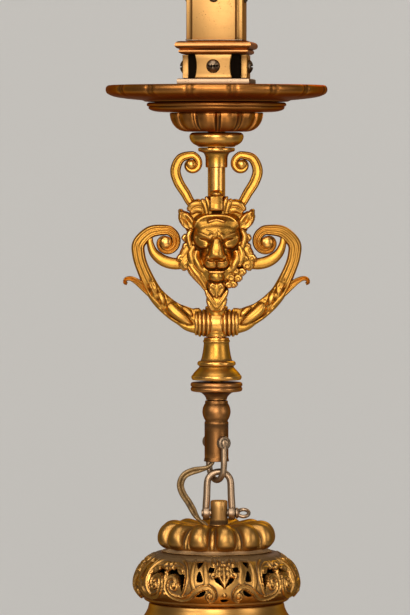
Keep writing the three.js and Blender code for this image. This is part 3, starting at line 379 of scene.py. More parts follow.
# Geometry Nodes


REPEAT_NODES = {
    "in": "NodeGroupInput", "line": "GeometryNodeMeshLine", "index": "GeometryNodeInputIndex",
    "step": "ShaderNodeMath", "turn": "ShaderNodeMath", "angles": "ShaderNodeCombineXYZ",
    "place": "GeometryNodeInstanceOnPoints", "real": "GeometryNodeRealizeInstances",
    "weld": "GeometryNodeMergeByDistance", "paint": "GeometryNodeSetMaterial", "out": "NodeGroupOutput",
}
REPEAT_LINKS = (
    ("in", "Copies", "line", "Count"), ("in", "Copies", "step", 1), ("index", 0, "turn", 0),
    ("step", 0, "turn", 1), ("turn", 0, "angles", "Z"), ("line", "Mesh", "place", "Points"),
    ("in", "Geometry", "place", "Instance"), ("angles", 0, "place", "Rotation"), ("place", 0, "real", 0),
    ("real", 0, "weld", 0), ("weld", 0, "paint", "Geometry"), ("in", "Finish", "paint", "Material"),
    ("paint", 0, "out", 0),
)


def repeated(obj, count, material):
    """The object's mesh repeated count times round Z, made by a small node tree."""
    tree = bpy.data.node_groups.new("Repeat Round " + obj.name, "GeometryNodeTree")
    face = tree.interface
    face.new_socket("Geometry", in_out="INPUT", socket_type="NodeSocketGeometry")
    copies = face.new_socket("Copies", in_out="INPUT", socket_type="NodeSocketInt")
    finish = face.new_socket("Finish", in_out="INPUT", socket_type="NodeSocketMaterial")
    face.new_socket("Geometry", in_out="OUTPUT", socket_type="NodeSocketGeometry")
    node = {key: tree.nodes.new(kind) for key, kind in REPEAT_NODES.items()}
    node["step"].operation = "DIVIDE"
    node["step"].inputs[0].default_value = 2 * math.pi
    node["turn"].operation = "MULTIPLY"
    node["line"].inputs["Offset"].default_value = (0, 0, 0)
    node["weld"].inputs["Distance"].default_value = 0.00002
    for source, output, target, socket in REPEAT_LINKS:
        tree.links.new(node[source].outputs[output], node[target].inputs[socket])
    repeat = obj.modifiers.new("Repeat", "NODES")
    repeat.node_group = tree
    repeat[copies.identifier] = count
    repeat[finish.identifier] = material
    return applied(obj)


# Shader arithmetic


class Channel:
    """A shader socket that takes part in plain arithmetic."""

    def __init__(self, finish, socket):
        self.finish = finish
        self.socket = socket

    def maths(self, operation, first, second):
        return self.finish.node("ShaderNodeMath", {"operation": operation}, {0: first, 1: second})

    def __add__(self, other):
        return self.maths("ADD", self, other)

    __radd__ = __add__

    def __mul__(self, other):
        return self.maths("MULTIPLY", self, other)

    def __sub__(self, other):
        return self.maths("SUBTRACT", self, other)

    def __rsub__(self, other):
        return self.maths("SUBTRACT", other, self)

    def clamped(self):
        return self.finish.node("ShaderNodeClamp", {}, {"Value": self})

    def eased(self, low, high):
        """0 below low, 1 above high, and smooth between them."""
        return self.finish.node("ShaderNodeMapRange", {"interpolation_type": "SMOOTHSTEP"},
                                {"Value": self, "From Min": low, "From Max": high})


class Finish:
    """A material under construction."""

    def __init__(self, name):
        self.material = bpy.data.materials.new(name)
        self.material.use_nodes = True
        self.nodes = self.material.node_tree.nodes
        self.nodes.clear()
        self.output = self.nodes.new("ShaderNodeOutputMaterial")
        self.place = self.node("ShaderNodeVectorMath", {"operation": "SCALE"},
                               {0: self.node("ShaderNodeTexCoord", {}, {}, "Object"), "Scale": 1000.0})

    def node(self, kind, settings, sockets, output=0):
        made = self.nodes.new(kind)
        for name, value in settings.items():
            setattr(made, name, value)
        for name, value in sockets.items():
            if isinstance(value, Channel):
                self.material.node_tree.links.new(value.socket, made.inputs[name])
            else:
                made.inputs[name].default_value = value
        return Channel(self, made.outputs[output])

    def noise(self, size, detail=4.0, rough=0.55, stretch=None):
        """Noise from 0 to 1 with spots of about that size in millimetres."""
        at = self.place
        if stretch:
            at = self.node("ShaderNodeVectorMath", {"operation": "MULTIPLY"}, {0: at, 1: stretch})
        return self.node("ShaderNodeTexNoise", {},
                         {"Vector": at, "Scale": 1.0 / size, "Detail": detail, "Roughness": rough}, "Fac")

    def cells(self, size):
        """The distance to the middle of the nearest cell."""
        return self.node("ShaderNodeTexVoronoi", {}, {"Vector": self.place, "Scale": 1.0 / size}, "Distance")

    def relief(self):
        """How far the surface stands out of (1) or lies in (-1) what is round it."""
        return self.node("ShaderNodeAttribute", {"attribute_name": "relief"}, {}, "Fac")

    def blend(self, amount, first, second):
        """The first colour where amount is 0, and the second where it is 1."""
        first, second = (c if isinstance(c, Channel) else (*c, 1.0) for c in (first, second))
        return self.node("ShaderNodeMix", {"data_type": "RGBA"}, {0: amount, 6: first, 7: second}, 2)

    def bump(self, height, strength, distance=0.0003):
        return self.node("ShaderNodeBump", {}, {"Height": height, "Strength": strength, "Distance": distance})

    def closed(self, kind, sockets, **settings):
        """The finished material, with that shader as its surface."""
        self.material.node_tree.links.new(self.node(kind, settings, sockets).socket, self.output.inputs[0])
        return self.material


def shade(colour, strength):
    return [min(1.0, c * strength) for c in colour]


def metal(name, colours, dirt, rough, dirty, mottled, pitted, streak=0.0, edge=None):
    """Cast or turned bronze: mottled between the first two of its colours, lighter towards the third where it
    stands out, partly rubbed wear and partly a painted highlight, with dirt in its hollows. Edge is the tint
    of what it mirrors at a glancing angle."""
    f = Finish(name)
    low, middle, high = colours
    relief = f.relief()
    broad = f.noise(26, 3, 0.5)
    spots = f.noise(3.4, 6, 0.65)
    fine = f.noise(0.55, 3, 0.6)
    # Raised parts turn towards the lighter third colour: partly rubbed wear, partly a painted highlight.
    wear_and_highlight = (relief + (spots - 0.5) * 0.5).eased(0.1, 0.8)
    hollow = ((spots - 0.55) * 0.6 - relief).eased(0.06, 0.6)
    patchy = (broad * 0.6 + spots * 0.6 - 0.35).eased(0.1, 0.62)
    colour = f.blend(patchy * mottled, middle, low)
    colour = f.blend(wear_and_highlight * 0.8, colour, high)
    colour = f.blend(hollow * dirty, colour, dirt)
    pits = (1 - f.cells(1.5).eased(0.08, 0.3)) * f.noise(6, 2).eased(0.52, 0.66)
    colour = f.blend(pits * min(1.0, pitted * 2.5), colour, dirt)
    roughness = rough + patchy * 0.08 + hollow * 0.22 + (fine - 0.5) * 0.08 - wear_and_highlight * 0.06
    height = fine * 0.18 + spots * 0.2 - pits * pitted * 3
    if streak:
        lines = f.noise(1.0, 3, 0.6, (0.06, 0.06, 1.6))
        height = height + lines * streak
        roughness = roughness + (lines - 0.5) * 0.1
    return f.closed("ShaderNodeBsdfPrincipled", {
        "Base Color": colour,
        "Metallic": 1 - hollow * 0.55 * dirty,
        "Roughness": roughness.clamped(),
        "Specular Tint": (*(edge or middle), 1.0),
        "Normal": f.bump(height, 0.3),
    })


def clear_glass(name, tint, rough):
    """Thin clear glass with faint smears, which lets the light through."""
    f = Finish(name)
    smear = f.noise(30, 5, 0.6).eased(0.5, 0.8)
    return f.closed("ShaderNodeBsdfPrincipled", {
        "Base Color": f.blend(smear * 0.15, tint, (0.8, 0.82, 0.78)),
        "Roughness": smear * 0.12 + rough,
        "IOR": 1.45,
        "Alpha": smear * 0.07 + 0.2,
        "Normal": f.bump(f.noise(18, 2), 0.15, 0.001),
    }, distribution="GGX")


def glazed(name, colour, dirt):
    """Glazed white ware with dust in its corners."""
    f = Finish(name)
    dust = (f.noise(12, 4) * 0.7 - f.relief() * 0.6).eased(0.35, 0.9)
    return f.closed("ShaderNodeBsdfPrincipled", {
        "Base Color": f.blend(dust * 0.5, colour, dirt),
        "Roughness": dust * 0.35 + 0.25,
        "Normal": f.bump(f.noise(1.5, 3), 0.12),
    })


def flex_sheath(name, colour, dark):
    """Gold-tinted sheath of the flex over its stranded copper."""
    f = Finish(name)
    grime_and_painted_shade = f.noise(5, 5, 0.6).eased(0.45, 0.7)
    strands = f.noise(0.5, 2, 0.5, (1, 1, 0.35))
    return f.closed("ShaderNodeBsdfPrincipled", {
        "Base Color": f.blend(grime_and_painted_shade * 0.6, f.blend(strands * 0.35, colour, (0.45, 0.28, 0.1)), dark),
        "Metallic": strands * 0.35 + 0.2,
        "Roughness": grime_and_painted_shade * 0.25 + 0.24,
        "Normal": f.bump(strands, 0.3),
    })


def pale_stage(name, colour, glow):
    """A pale matt surface that looks evenly lit to the camera and in reflections."""
    f = Finish(name)
    path = f.nodes.new("ShaderNodeLightPath")
    seen = [Channel(f, path.outputs[n]) for n in ("Is Camera Ray", "Is Glossy Ray", "Is Transmission Ray")]
    direct = (seen[0] + seen[1] + seen[2]).clamped()
    tone = f.blend(f.noise(900, 2) * 0.5, colour, shade(colour, 0.96))
    matt = f.node("ShaderNodeBsdfDiffuse", {}, {"Color": tone, "Roughness": 0.9})
    even = f.node("ShaderNodeEmission", {}, {"Color": tone, "Strength": glow})
    return f.closed("ShaderNodeMixShader", {0: direct * 0.55, 1: matt, 2: even})


class Finishes:
    """The lantern's materials, made once."""

    def __init__(self, colours):
        gilt, bronze, brass, copper, grey, dirt, edge = (tuple(c) for c in (
            colours.gilding, colours.bronze, colours.brass, colours.copper, colours.old_metal, colours.dirt,
            colours.edge))
        body = [0.35 * g + 0.65 * b for g, b in zip(gilt, brass)]
        # The third colour of each metal, for its raised parts, is partly rubbed wear and partly a painted
        # highlight.
        rubbed_highlight_gilt = [min(1.0, c * 1.5 + 0.05) for c in gilt]
        rubbed_highlight_grey = [min(1, c * 2.1 + d * 0.2) for c, d in zip(grey, copper)]
        self.gilt = metal("worn_gilding", (shade(gilt, 0.55), gilt, rubbed_highlight_gilt), dirt,
                          0.35, 0.85, 0.7, 0.12, 0.0, edge)
        self.turned_gilt = metal("turned_gilding", (shade(gilt, 0.62), gilt, rubbed_highlight_gilt), dirt,
                                 0.33, 0.7, 0.5, 0.12, 0.2, edge)
        self.body = metal("body_gilding", (shade(body, 0.55), body, shade(body, 1.4)), (0.1, 0.065, 0.036),
                          0.38, 0.85, 0.75, 0.12, 0.0, edge)
        self.dusty = metal("dusty_gilding", (shade(body, 0.7), body, shade(body, 1.4)), (0.4, 0.27, 0.15),
                           0.5, 1.0, 0.5, 0.1)
        self.bronze = metal("brown_bronze", (shade(bronze, 0.55), bronze, shade(bronze, 2.0)), dirt,
                            0.4, 0.75, 0.7, 0.12, 0.0, edge)
        self.brass = metal("pitted_brass", (shade(brass, 0.5), brass, shade(brass, 1.35)), dirt,
                           0.48, 0.9, 0.6, 0.5, 0.3, edge)
        self.grey = metal("old_metal", (shade(grey, 0.55), grey, rubbed_highlight_grey), dirt, 0.45, 0.75, 0.8, 0.4)
        self.screw = metal("browned_steel", ((0.03, 0.02, 0.014), (0.07, 0.045, 0.03), (0.24, 0.17, 0.11)),
                           (0.012, 0.009, 0.007), 0.42, 0.9, 0.6, 0.3)
        self.tube = metal("browned_copper", [shade(copper, strength) for strength in (0.42, 0.72, 1.5)], dirt,
                          0.4, 0.7, 0.75, 0.25, 0.3, edge)
        # Near-black bronze for the cage core and the band's lining: painted shade inside the cage and behind
        # the holes of the band.
        self.grime_and_painted_shade = metal("painted_shade_bronze",
                           ((0.006, 0.004, 0.003), (0.012, 0.008, 0.005), (0.05, 0.032, 0.018)),
                           (0.004, 0.003, 0.002), 0.8, 0.9, 0.6, 0.1)
        self.glass = clear_glass("body_glass", (0.82, 0.88, 0.85), 0.02)
        self.bulb = clear_glass("bulb_glass", (0.95, 0.93, 0.88), 0.05)
        self.white = glazed("white_holder", (0.78, 0.75, 0.68), (0.35, 0.27, 0.18))
        self.flex = flex_sheath("gold_flex", (0.15, 0.085, 0.028), (0.03, 0.018, 0.008))


# Post, collar, cage and plates


def post_plan(half, corner):
    """The plan of the post: a square whose corners are hollowed by a small cove."""
    inner = half - corner
    curve = catmull([[inner, -half, 0], [inner + 0.5, -inner - corner * 0.4, 0],
                     [inner + corner * 0.4, -inner - 0.5, 0], [half, -inner, 0]], 4)
    return np.vstack([moved(curve, turn=quarter * math.pi / 2) for quarter in range(4)])


def build_post(paint, sizes):
    low, high = level("post", 0), level("post", 1)
    half = sizes.post_side * 1000 / 2
    corner = 5.4
    plan = post_plan(half, corner)
    shaft = prism("post_shaft", moved(plan, z=low, turn=SQUARE_TURN), moved(plan, z=high, turn=SQUARE_TURN))
    post = bevelled(shaft, 0.35, 2, 30)
    post.name = "post_dressed"

    # Painted shade: the coves at the post's corners get a strongly negative relief, so they take the dark
    # colour of a hollow.
    def grime_and_painted_shade(points):
        flat = moved(points, turn=-SQUARE_TURN)
        near = np.minimum(np.abs(flat[:, 0]), np.abs(flat[:, 1]))
        return -1.6 * (near > half - corner - 0.1)

    finish_piece(post, paint.brass, "post", relief=(4, 0.3), extra=grime_and_painted_shade)
    foot = squared("post_foot_seam",
                   [[half - 1.2, 1.1], [half + 0.25, 0.9], [half + 0.25, 0.2], [half - 1.2, 0]], low)
    finish_piece(foot, paint.screw, "post", relief=(4, 0.3))


def screw_shape(name, head, rise, shank, length, slot):
    """A round-headed screw along +Y with a cut slot; the head's edge is at y = 0."""
    floor = -rise * 0.35

    def slotted(points):
        points[(np.abs(points[:, 2]) < slot) & (points[:, 1] < floor), 1] = floor
        return points

    profile = rounded([[0.001, -rise], [head * 0.45, -rise * 0.93], [head * 0.86, -rise * 0.5], [head, -0.25],
                       [head, 0], [shank, 0], [shank, length], [0.001, length]])
    return spun(name, profile, 40, shape=slotted)


def build_screws(paint):
    """Four screws in the post and four in the cage, each set repeated round the axis."""
    for kind, head, rise, shank, y, length, slot in (("post_screw", 4, 2.4, 2, 22.8, 10.5, 0),
                                                     ("cage_screw", 5.5, 3.2, 2.5, 26.1, 6, 0.55)):
        nodes = [kind + "_" + side for side in SIDES]
        one = placed(screw_shape(kind + "s", head, rise, shank, length, slot), 0, -y, middle_level(nodes[0]))
        placed(one, turn=SQUARE_TURN)
        finish_piece(repeated(one, 4, paint.screw), paint.screw, *nodes, relief=(5, 0.3))


def build_collar(paint):
    """The mitred collar of two mouldings and the plate under the cage."""
    top = level("collar", 1)
    half = 30.4
    outline = [[6, 0], [half - 3.6, 0], [half - 1.8, -0.5], [half - 0.4, -1.6], [half, -3.2],
               [half - 0.4, -4.8],
               [half - 1.8, -5.9], [half - 3.4, -6.3], [half - 3.7, -6.7], [half - 3, -7.1],
               [half - 2.7, -8.2],
               [half - 3.2, -9.4], [half - 4.4, -9.9], [half - 5.2, level("collar", 0) - top],
               [6, level("collar", 0) - top]]
    finish_piece(squared("collar_mouldings", outline, top), paint.tube, "collar", sharp=30)
    top = level("base_plate", 1)
    deep = level("base_plate", 0) - top
    half = 28.8
    outline = [[6, 0], [half - 1.2, 0], [half - 0.2, -0.5], [half, -1.4], [half, deep + 0.6],
               [half - 0.5, deep],
               [6, deep]]
    finish_piece(squared("base_plate_dressed", outline, top), paint.grey, "base_plate", sharp=30)


def build_cage(paint):
    """Four flat uprights with waisted edges, one repeated round the axis."""
    names = ["cage_upright_" + side for side in SIDES]
    low, high = level(names[0], 0), level(names[0], 1)
    rise = np.linspace(low, high, 13)
    waist = 14.8 - 1.5 * np.sin((rise - low) / (high - low) * math.pi) ** 0.8
    edge = np.column_stack([np.concatenate([waist, -waist[::-1]]), np.concatenate([rise, rise[::-1]])])
    outer, inner = (np.insert(edge, 1, y, axis=1) for y in (-25.8, -20.8))
    upright = placed(bevelled(prism("cage_uprights", outer, inner), 0.5, 3, 50), turn=SQUARE_TURN)
    finish_piece(repeated(upright, 4, paint.brass), paint.brass, *names, relief=(4, 0.3))


# Dish, ring, bowl and the knops under them


def from_joint(angle, panels, turn):
    """How far each angle is from the nearest joint of two panels: 0 on it, 1 in the middle of a panel."""
    wave = (angle + math.pi / 2 - turn) * panels / (2 * math.pi)
    return np.abs(wave - np.round(wave)) * 2


def build_dish(paint, sizes):
    panels, R = 16, 88.8
    outline = [[6, 0], [34, 0], [37.5, -0.4], [46, -4.6], [60, -5.4], [R - 14, -5], [R - 6, -1.2], [R - 3, 0],
               [R - 0.7, -1.2], [R, -4], [R - 0.9, -6.6], [R - 3.4, -8.2], [R - 8, -9.8], [R - 16, -11],
               [R - 24, -11.8], [58.4, -12.4], [57.6, -13.5], [50, -13.6], [6, -13.6]]

    def panelled(radius, height, angle):
        away = from_joint(angle, panels, math.radians(8.2))
        bulge = -2.6 * np.clip(1 - away / 0.26, 0, 1) ** 1.4
        bead = sizes.dish_bead * 1000 * np.exp(-((away / 0.075) ** 2))
        return radius + smoothstep(R - 17, R - 5, radius) * (bulge + bead)

    finish_turned(paint.bronze, "dish", outline, panels * 26, 2, panelled, relief=(8, 0.35))


def build_bowl(paint):
    """The moulded ring and the panelled bowl under the dish."""
    outline = [[6, 0], [53.4, 0], [55.2, -0.4], [56, -1.8], [55.3, -3.1], [54, -3.5], [54.5, -4.2],
               [54.2, -5.2],
               [52.8, -6.2], [50, -7.2], [44, -8], [6, -8]]
    finish_turned(paint.bronze, "under_ring", outline, 144, 2)
    panels = 12
    outline = [[6, 0], [37.2, 0]]
    outline += [[22.6 + 15 * math.cos(a) ** 0.85, -15.2 * math.sin(a)]
                for a in np.linspace(0.06, math.pi / 2 - 0.02, 22)]
    outline += [[20, -15.2], [6, -15.2]]

    def panelled(radius, height, angle):
        away = from_joint(angle, panels, math.radians(1.5))
        rib = 0.9 * np.exp(-((away / 0.075) ** 2))
        groove = -1.5 * np.exp(-(((away - 0.17) / 0.07) ** 2))
        crown = -1.0 * smoothstep(0.95, 0.3, away)
        return radius + smoothstep(19, 26, radius) * (rib + groove + crown)

    finish_turned(paint.bronze, "bowl", outline, panels * 26, 0, panelled, relief=(8, 0.35))


def build_knops(paint):
    """The ovolo, the sleeve and the stem."""
    outline = [[6, 0], [17.5, 0], [20.4, -0.6], [21.8, -2.6], [21.6, -5], [20.6, -7.4], [18.6, -9.4],
               [15.8, -10.8], [14.9, -11.2], [14.6, -12], [6, -12]]
    finish_turned(paint.turned_gilt, "ovolo", outline, 96, 2)
    deep = level("sleeve", 0) - level("sleeve", 1)
    outline = [[6, 0], [13.8, 0], [14.7, -0.6], [14.8, -1.9], [14.4, -3], [12.6, -3.5], [10.6, -4.2],
               [9.6, -5.6],
               [9, -7.4], [8.8, -9.4], [8.8, deep + 0.6], [8.2, deep], [6, deep]]
    finish_turned(paint.turned_gilt, "sleeve", outline, 72)
    high = level("stem", 1)
    deep = level("stem", 0) - high
    outline = [[5, 0], [6.5, 0], [7, -0.5], [7, -40], [7, -220 - high], [7, deep + 0.5], [6.5, deep],
               [5, deep],
               [4.2, deep + 3], [4.2, -3]]
    finish_turned(paint.turned_gilt, "stem", outline, 48, 0, closed=True)


# Hub, column and swivel


def build_hub(paint):
    """The ribbed barrel that lies across, with a socket for the stem above and below."""
    half = [[0.01, -17.6], [8.6, -17.6], [9.8, -17.1], [10.2, -16], [9.7, -15.2], [9.7, -14.7], [10.9, -14.2],
            [11.2, -13.2], [10.8, -12.3], [9.6, -11.7], [10.8, -11.1], [11.2, -10.1], [10.8, -9.2],
            [9.6, -8.6],
            [9.6, -8], [10.8, -7.5], [11.1, -6.5], [10.8, -5.6], [9.8, -5.1], [9.8, -4.8], [10.7, -4.3],
            [11, -3.2],
            [11.1, 0]]
    whole = half + [[r, -x] for r, x in half[-2::-1]]
    barrel = spun("hub_barrel", rounded(whole), 64, z=middle_level("hub") - 1.1, lengthwise=True)
    finish_piece(barrel, paint.gilt, "hub", relief=(6, 0.35))
    high = level("hub", 1)
    deep = level("hub", 0) - high
    outline = [[6, 0], [8, 0], [9, -0.5], [9.2, -1.6], [9, -3], [9, deep + 3], [9.2, deep + 1.6],
               [9, deep + 0.4],
               [8, deep], [6, deep]]
    finish_piece(turned("hub_sockets", outline, high, 64), paint.gilt, "hub", relief=(6, 0.35))


def build_column(paint):
    """The tapered column, its ring and the bell over the swivel."""
    deep = level("column", 0) - level("column", 1)
    b = 20.2
    outline = [[6, 0], [9.4, 0], [10.1, -0.5], [10.1, -2], [10.6, -2.3], [10.9, -3], [10.6, -3.7],
               [10.2, -4.1],
               [10.3, -6.5], [11.2, -13], [12.4, -18], [12.9, -18.7], [14.4, -19], [15.3, -20], [15.4, -21],
               [15.2, -22], [14, -22.8], [13.6, -23.2], [14.6, -24.6], [16.4, -26.4], [18.2, -28.4],
               [19.4, -30.2],
               [b, -31], [b, -32.6], [b - 0.5, -33.3], [b - 0.8, deep + 0.2], [b - 1.6, deep], [6, deep]]
    finish_turned(paint.turned_gilt, "column", outline, 96)


def build_swivel(paint, sizes):
    """The flange, and the knop with the tube under it."""
    outline = [[5.6, 0], [18.6, 0], [20.2, -0.4], [20.8, -1.6], [20.8, -3], [20, -3.5], [20, -4.1],
               [20.7, -4.6],
               [20.8, -6], [20.2, -7.2], [18.6, -7.7], [14.2, -8.1], [12, -8.8], [10.6, -10], [9.2, -11.4],
               [8.4, -13.2], [8.4, -14.4], [5.6, -14.4]]
    finish_turned(paint.tube, "swivel_flange", outline, 96)
    deep = level("drop_tube", 0) - level("drop_tube", 1)
    t = sizes.tube_radius * 1000
    outline = [[5.6, 0], [8.4, 0], [9.1, -0.4], [9.2, -1.6], [9.2, -2.4], [10.2, -4], [11, -6.2],
               [11.4, -8.8],
               [11.1, -11.4], [10.3, -14], [9.2, -15.8], [9, -16.8], [9.6, -17.4], [9.7, -18.6], [t, -19.2],
               [t, deep + 0.4], [t - 0.3, deep], [10.2, deep], [10, deep + 0.6], [8.9, deep + 7],
               [8.4, deep + 12],
               [8.4, -15], [5.6, -11.5]]
    finish_turned(paint.tube, "drop_tube", outline, 96, closed=True, relief=(8, 0.5))


# Scrolls and arms


def volute(x, z, turns, radii, widths, count):
    """Stops of a volute that winds out from its eye: [x, z, width].
    The turns are in degrees from +X towards +Z."""
    t = np.linspace(0, 1, count)
    angle = np.radians(turns[0] + (turns[1] - turns[0]) * t)
    radius = radii[0] + (radii[1] - radii[0]) * t ** 0.9
    return np.column_stack([x + radius * np.cos(angle), z + radius * np.sin(angle),
                            widths[0] + (widths[1] - widths[0]) * t]).tolist()


def channelled(s, ridge):
    """The height of a cast bar's face across its width: a bead along each edge, a ridge between two coves."""
    body = 0.58 * np.sqrt(np.clip(1 - s ** 6, 0, 1))
    beads = 0.26 * np.exp(-(((np.abs(s) - 0.68) / 0.2) ** 2))
    middle = ridge * np.exp(-(((s - 0.04) / 0.17) ** 2))
    return body + beads + middle


def leaf_rise(back, across, leaf):
    """The height that a cast leaf adds at a place that far back from the bar's end and that far across it."""
    where, offset, length, width, turn, rise = leaf
    a, b = where - back, across - offset
    c, n = math.cos(turn), math.sin(turn)
    u, v = (a * c + b * n) / length, (-a * n + b * c) / width
    away = np.sqrt(u * u + v * v * np.clip(1 + 0.6 * u, 0.5, 1.6))
    body = np.sqrt(np.clip(1 - away ** 2, 0, 1))
    vein = 1 - 0.12 * np.exp(-((v / 0.2) ** 2))
    groove = 0.26 * np.exp(-(((away - 1.14) / 0.15) ** 2))
    return rise * (body * vein - groove)


def cast_bar(name, stops, depth, side, ridge=0.2, leaves=(), per_span=9, ends=(1.0, 1.0), plain_from=1e9):
    """A bar in the XZ plane along stops of [x, z, width]: both faces carry the channels and the leaves.
    Each leaf is [how far back from the end, how far across, length, width, turn, rise] in millimetres, with a
    groove round it; from plain_from on, the channels give way to a plain rounded face."""
    count = 33
    line = catmull(stops, per_span)
    centre = np.column_stack([side * line[:, 0], np.zeros(len(line)), line[:, 1]])
    far = way_along(centre)
    along = direction(centre)
    flat = np.column_stack([-along[:, 2], np.zeros(len(line)), along[:, 0]]) * side
    s = np.sin(np.linspace(-1, 1, count) * math.pi / 2)
    taper = np.interp(np.linspace(0, 1, len(line)), [0, 0.12, 0.9, 1], [ends[0], 1, 1, ends[1]])
    channels = channelled(s, ridge)
    bare = 0.72 * np.sqrt(np.clip(1 - np.abs(s) ** 2.6, 0, 1))
    rings = []
    for i in range(len(line)):
        across = s * line[i, 2] / 2
        plain = smoothstep(plain_from, plain_from + 9, far[i])
        face = (channels * (1 - plain) + bare * plain) * depth / 2 * taper[i]
        for leaf in leaves:
            face = face + leaf_rise(far[-1] - far[i], across, leaf)
        for sign, order in ((-1, slice(None)), (1, slice(None, None, -1))):
            ring = centre[i] + flat[i] * across[order][:, None]
            rings.append(ring + np.column_stack([np.zeros(count), sign * face[order], np.zeros(count)]))
    return tidy(make_mesh(name, np.vstack(rings), tube_faces(len(line), count * 2)))


def boss(x, z, radius, rise):
    """A round eye that stands out of both faces of a volute."""
    half = [[radius * math.cos(a), rise * (0.55 + 0.45 * math.sin(a))] for a in np.linspace(0, math.pi / 2,
                                                                                            9)]
    half[-1][0] = 0.01
    line = half + [[r, -y] for r, y in half[::-1]]
    return spun("eye", line[::-1], 40, x, z)


def build_upper_scroll(paint, side, name):
    """A C scroll whose volute lies beside the sleeve."""
    x, z = 20.2, level("sleeve", 1) - 13.4
    outer = x + 13
    stops = volute(x, z, (470, 90), (1.6, 7.4), (3.0, 6.2), 14)
    stops += [[x + 8.6, z + 4.6, 7.6], [outer - 0.4, z - 4.6, 8.4], [outer - 2.8, z - 14, 8.4],
              [outer - 8.2, z - 22.8, 8.0], [x - 0.4, z - 31.4, 7.2], [11.6, z - 37.6, 6.2],
              [7.6, z - 41.6, 6]]
    bar = cast_bar(name, stops, 8.4, side, ridge=0.0, ends=(0.7, 1.0))
    scroll = joined(name + "_dressed", bar, boss(side * x, z, 4.0, 5.2))
    finish_piece(scroll, paint.gilt, name, sharp=60, relief=(14, 2.0))


def build_arm(paint, side, name):
    """Volute, sweep, branch to the mask, leaf with a curled tip and the acanthus on the lower sweep."""
    x, z = 40.5, level("hub", 1) + 51
    span = 61.8
    hub = middle_level("hub") + 0.5
    sweep = volute(x, z, (500, 90), (1.8, 9.8), (3.6, 8.2), 16)
    sweep += [[x + 12.2, z + 8.2, 9.8], [span, z - 0.6, 10.6], [span + 0.4, z - 10, 10.4],
              [span - 3, z - 21.4, 10.4],
              [span - 11, z - 38.2, 12], [span - 18, z - 47, 13.4], [span - 27, z - 54.6, 14.6],
              [span - 35, z - 59, 16.6], [21, hub + 1, 19], [15, hub, 21]]
    leaves = [(44.5, -0.6, 7.5, 2.9, 0.24, 2.2), (35, -1.6, 6.0, 2.6, 0.36, 2.0),
              (36, 4.0, 10.0, 2.0, 0.04, 1.3),
              (16, 0.4, 12.5, 4.2, 0.2, 2.9), (10.5, -5.4, 6.5, 2.4, 0.3, 1.9),
              (22, 6.0, 11.0, 1.2, 0.02, 1.0)]
    bar = cast_bar("sweep", sweep, 9.6, side, ridge=0.22, leaves=leaves, per_span=20, ends=(0.7, 1.0),
                   plain_from=108)
    branch = [[x + 13.0, z + 5.4, 4.6], [x + 12.4, z - 1.4, 5.8], [x + 9.4, z - 8.6, 7.6],
              [x + 2.8, z - 14.2, 9.2],
              [x - 6, z - 17.0, 9.4], [x - 16, z - 16.6, 8.6], [x - 26, z - 14.4, 7.6], [8, z - 13.6, 7]]
    limb = cast_bar("branch", branch, 8.4, side, ends=(0.8, 1.0), plain_from=-10)
    tip = [[span - 19, z - 48, 6], [span - 11, z - 41.6, 8], [span - 4.4, z - 36.2, 7],
           [span + 2, z - 31.4, 5.2],
           [span + 7, z - 29, 4], [span + 10.6, z - 29.6, 3.4], [span + 11.4, z - 32.2, 3],
           [span + 9.6, z - 33.2, 2.4]]
    leaf = cast_bar("leaf", tip, 6.4, side, ridge=-0.22, ends=(0.8, 0.6))
    arm = joined(name + "_dressed", bar, limb, leaf, boss(side * x, z, 5.0, 6.4))
    finish_piece(arm, paint.gilt, name, sharp=60, relief=(32, 2.4))


# Lion masks


def to_segment(x, z, a, b):
    """For each place, where on the way from a (0) to b (1) it is nearest to it, and how far off that is."""
    dx, dz = b[0] - a[0], b[1] - a[1]
    t = np.clip(((x - a[0]) * dx + (z - a[1]) * dz) / max(dx * dx + dz * dz, 1e-9), 0, 1)
    return t, np.hypot(x - a[0] - t * dx, z - a[1] - t * dz)


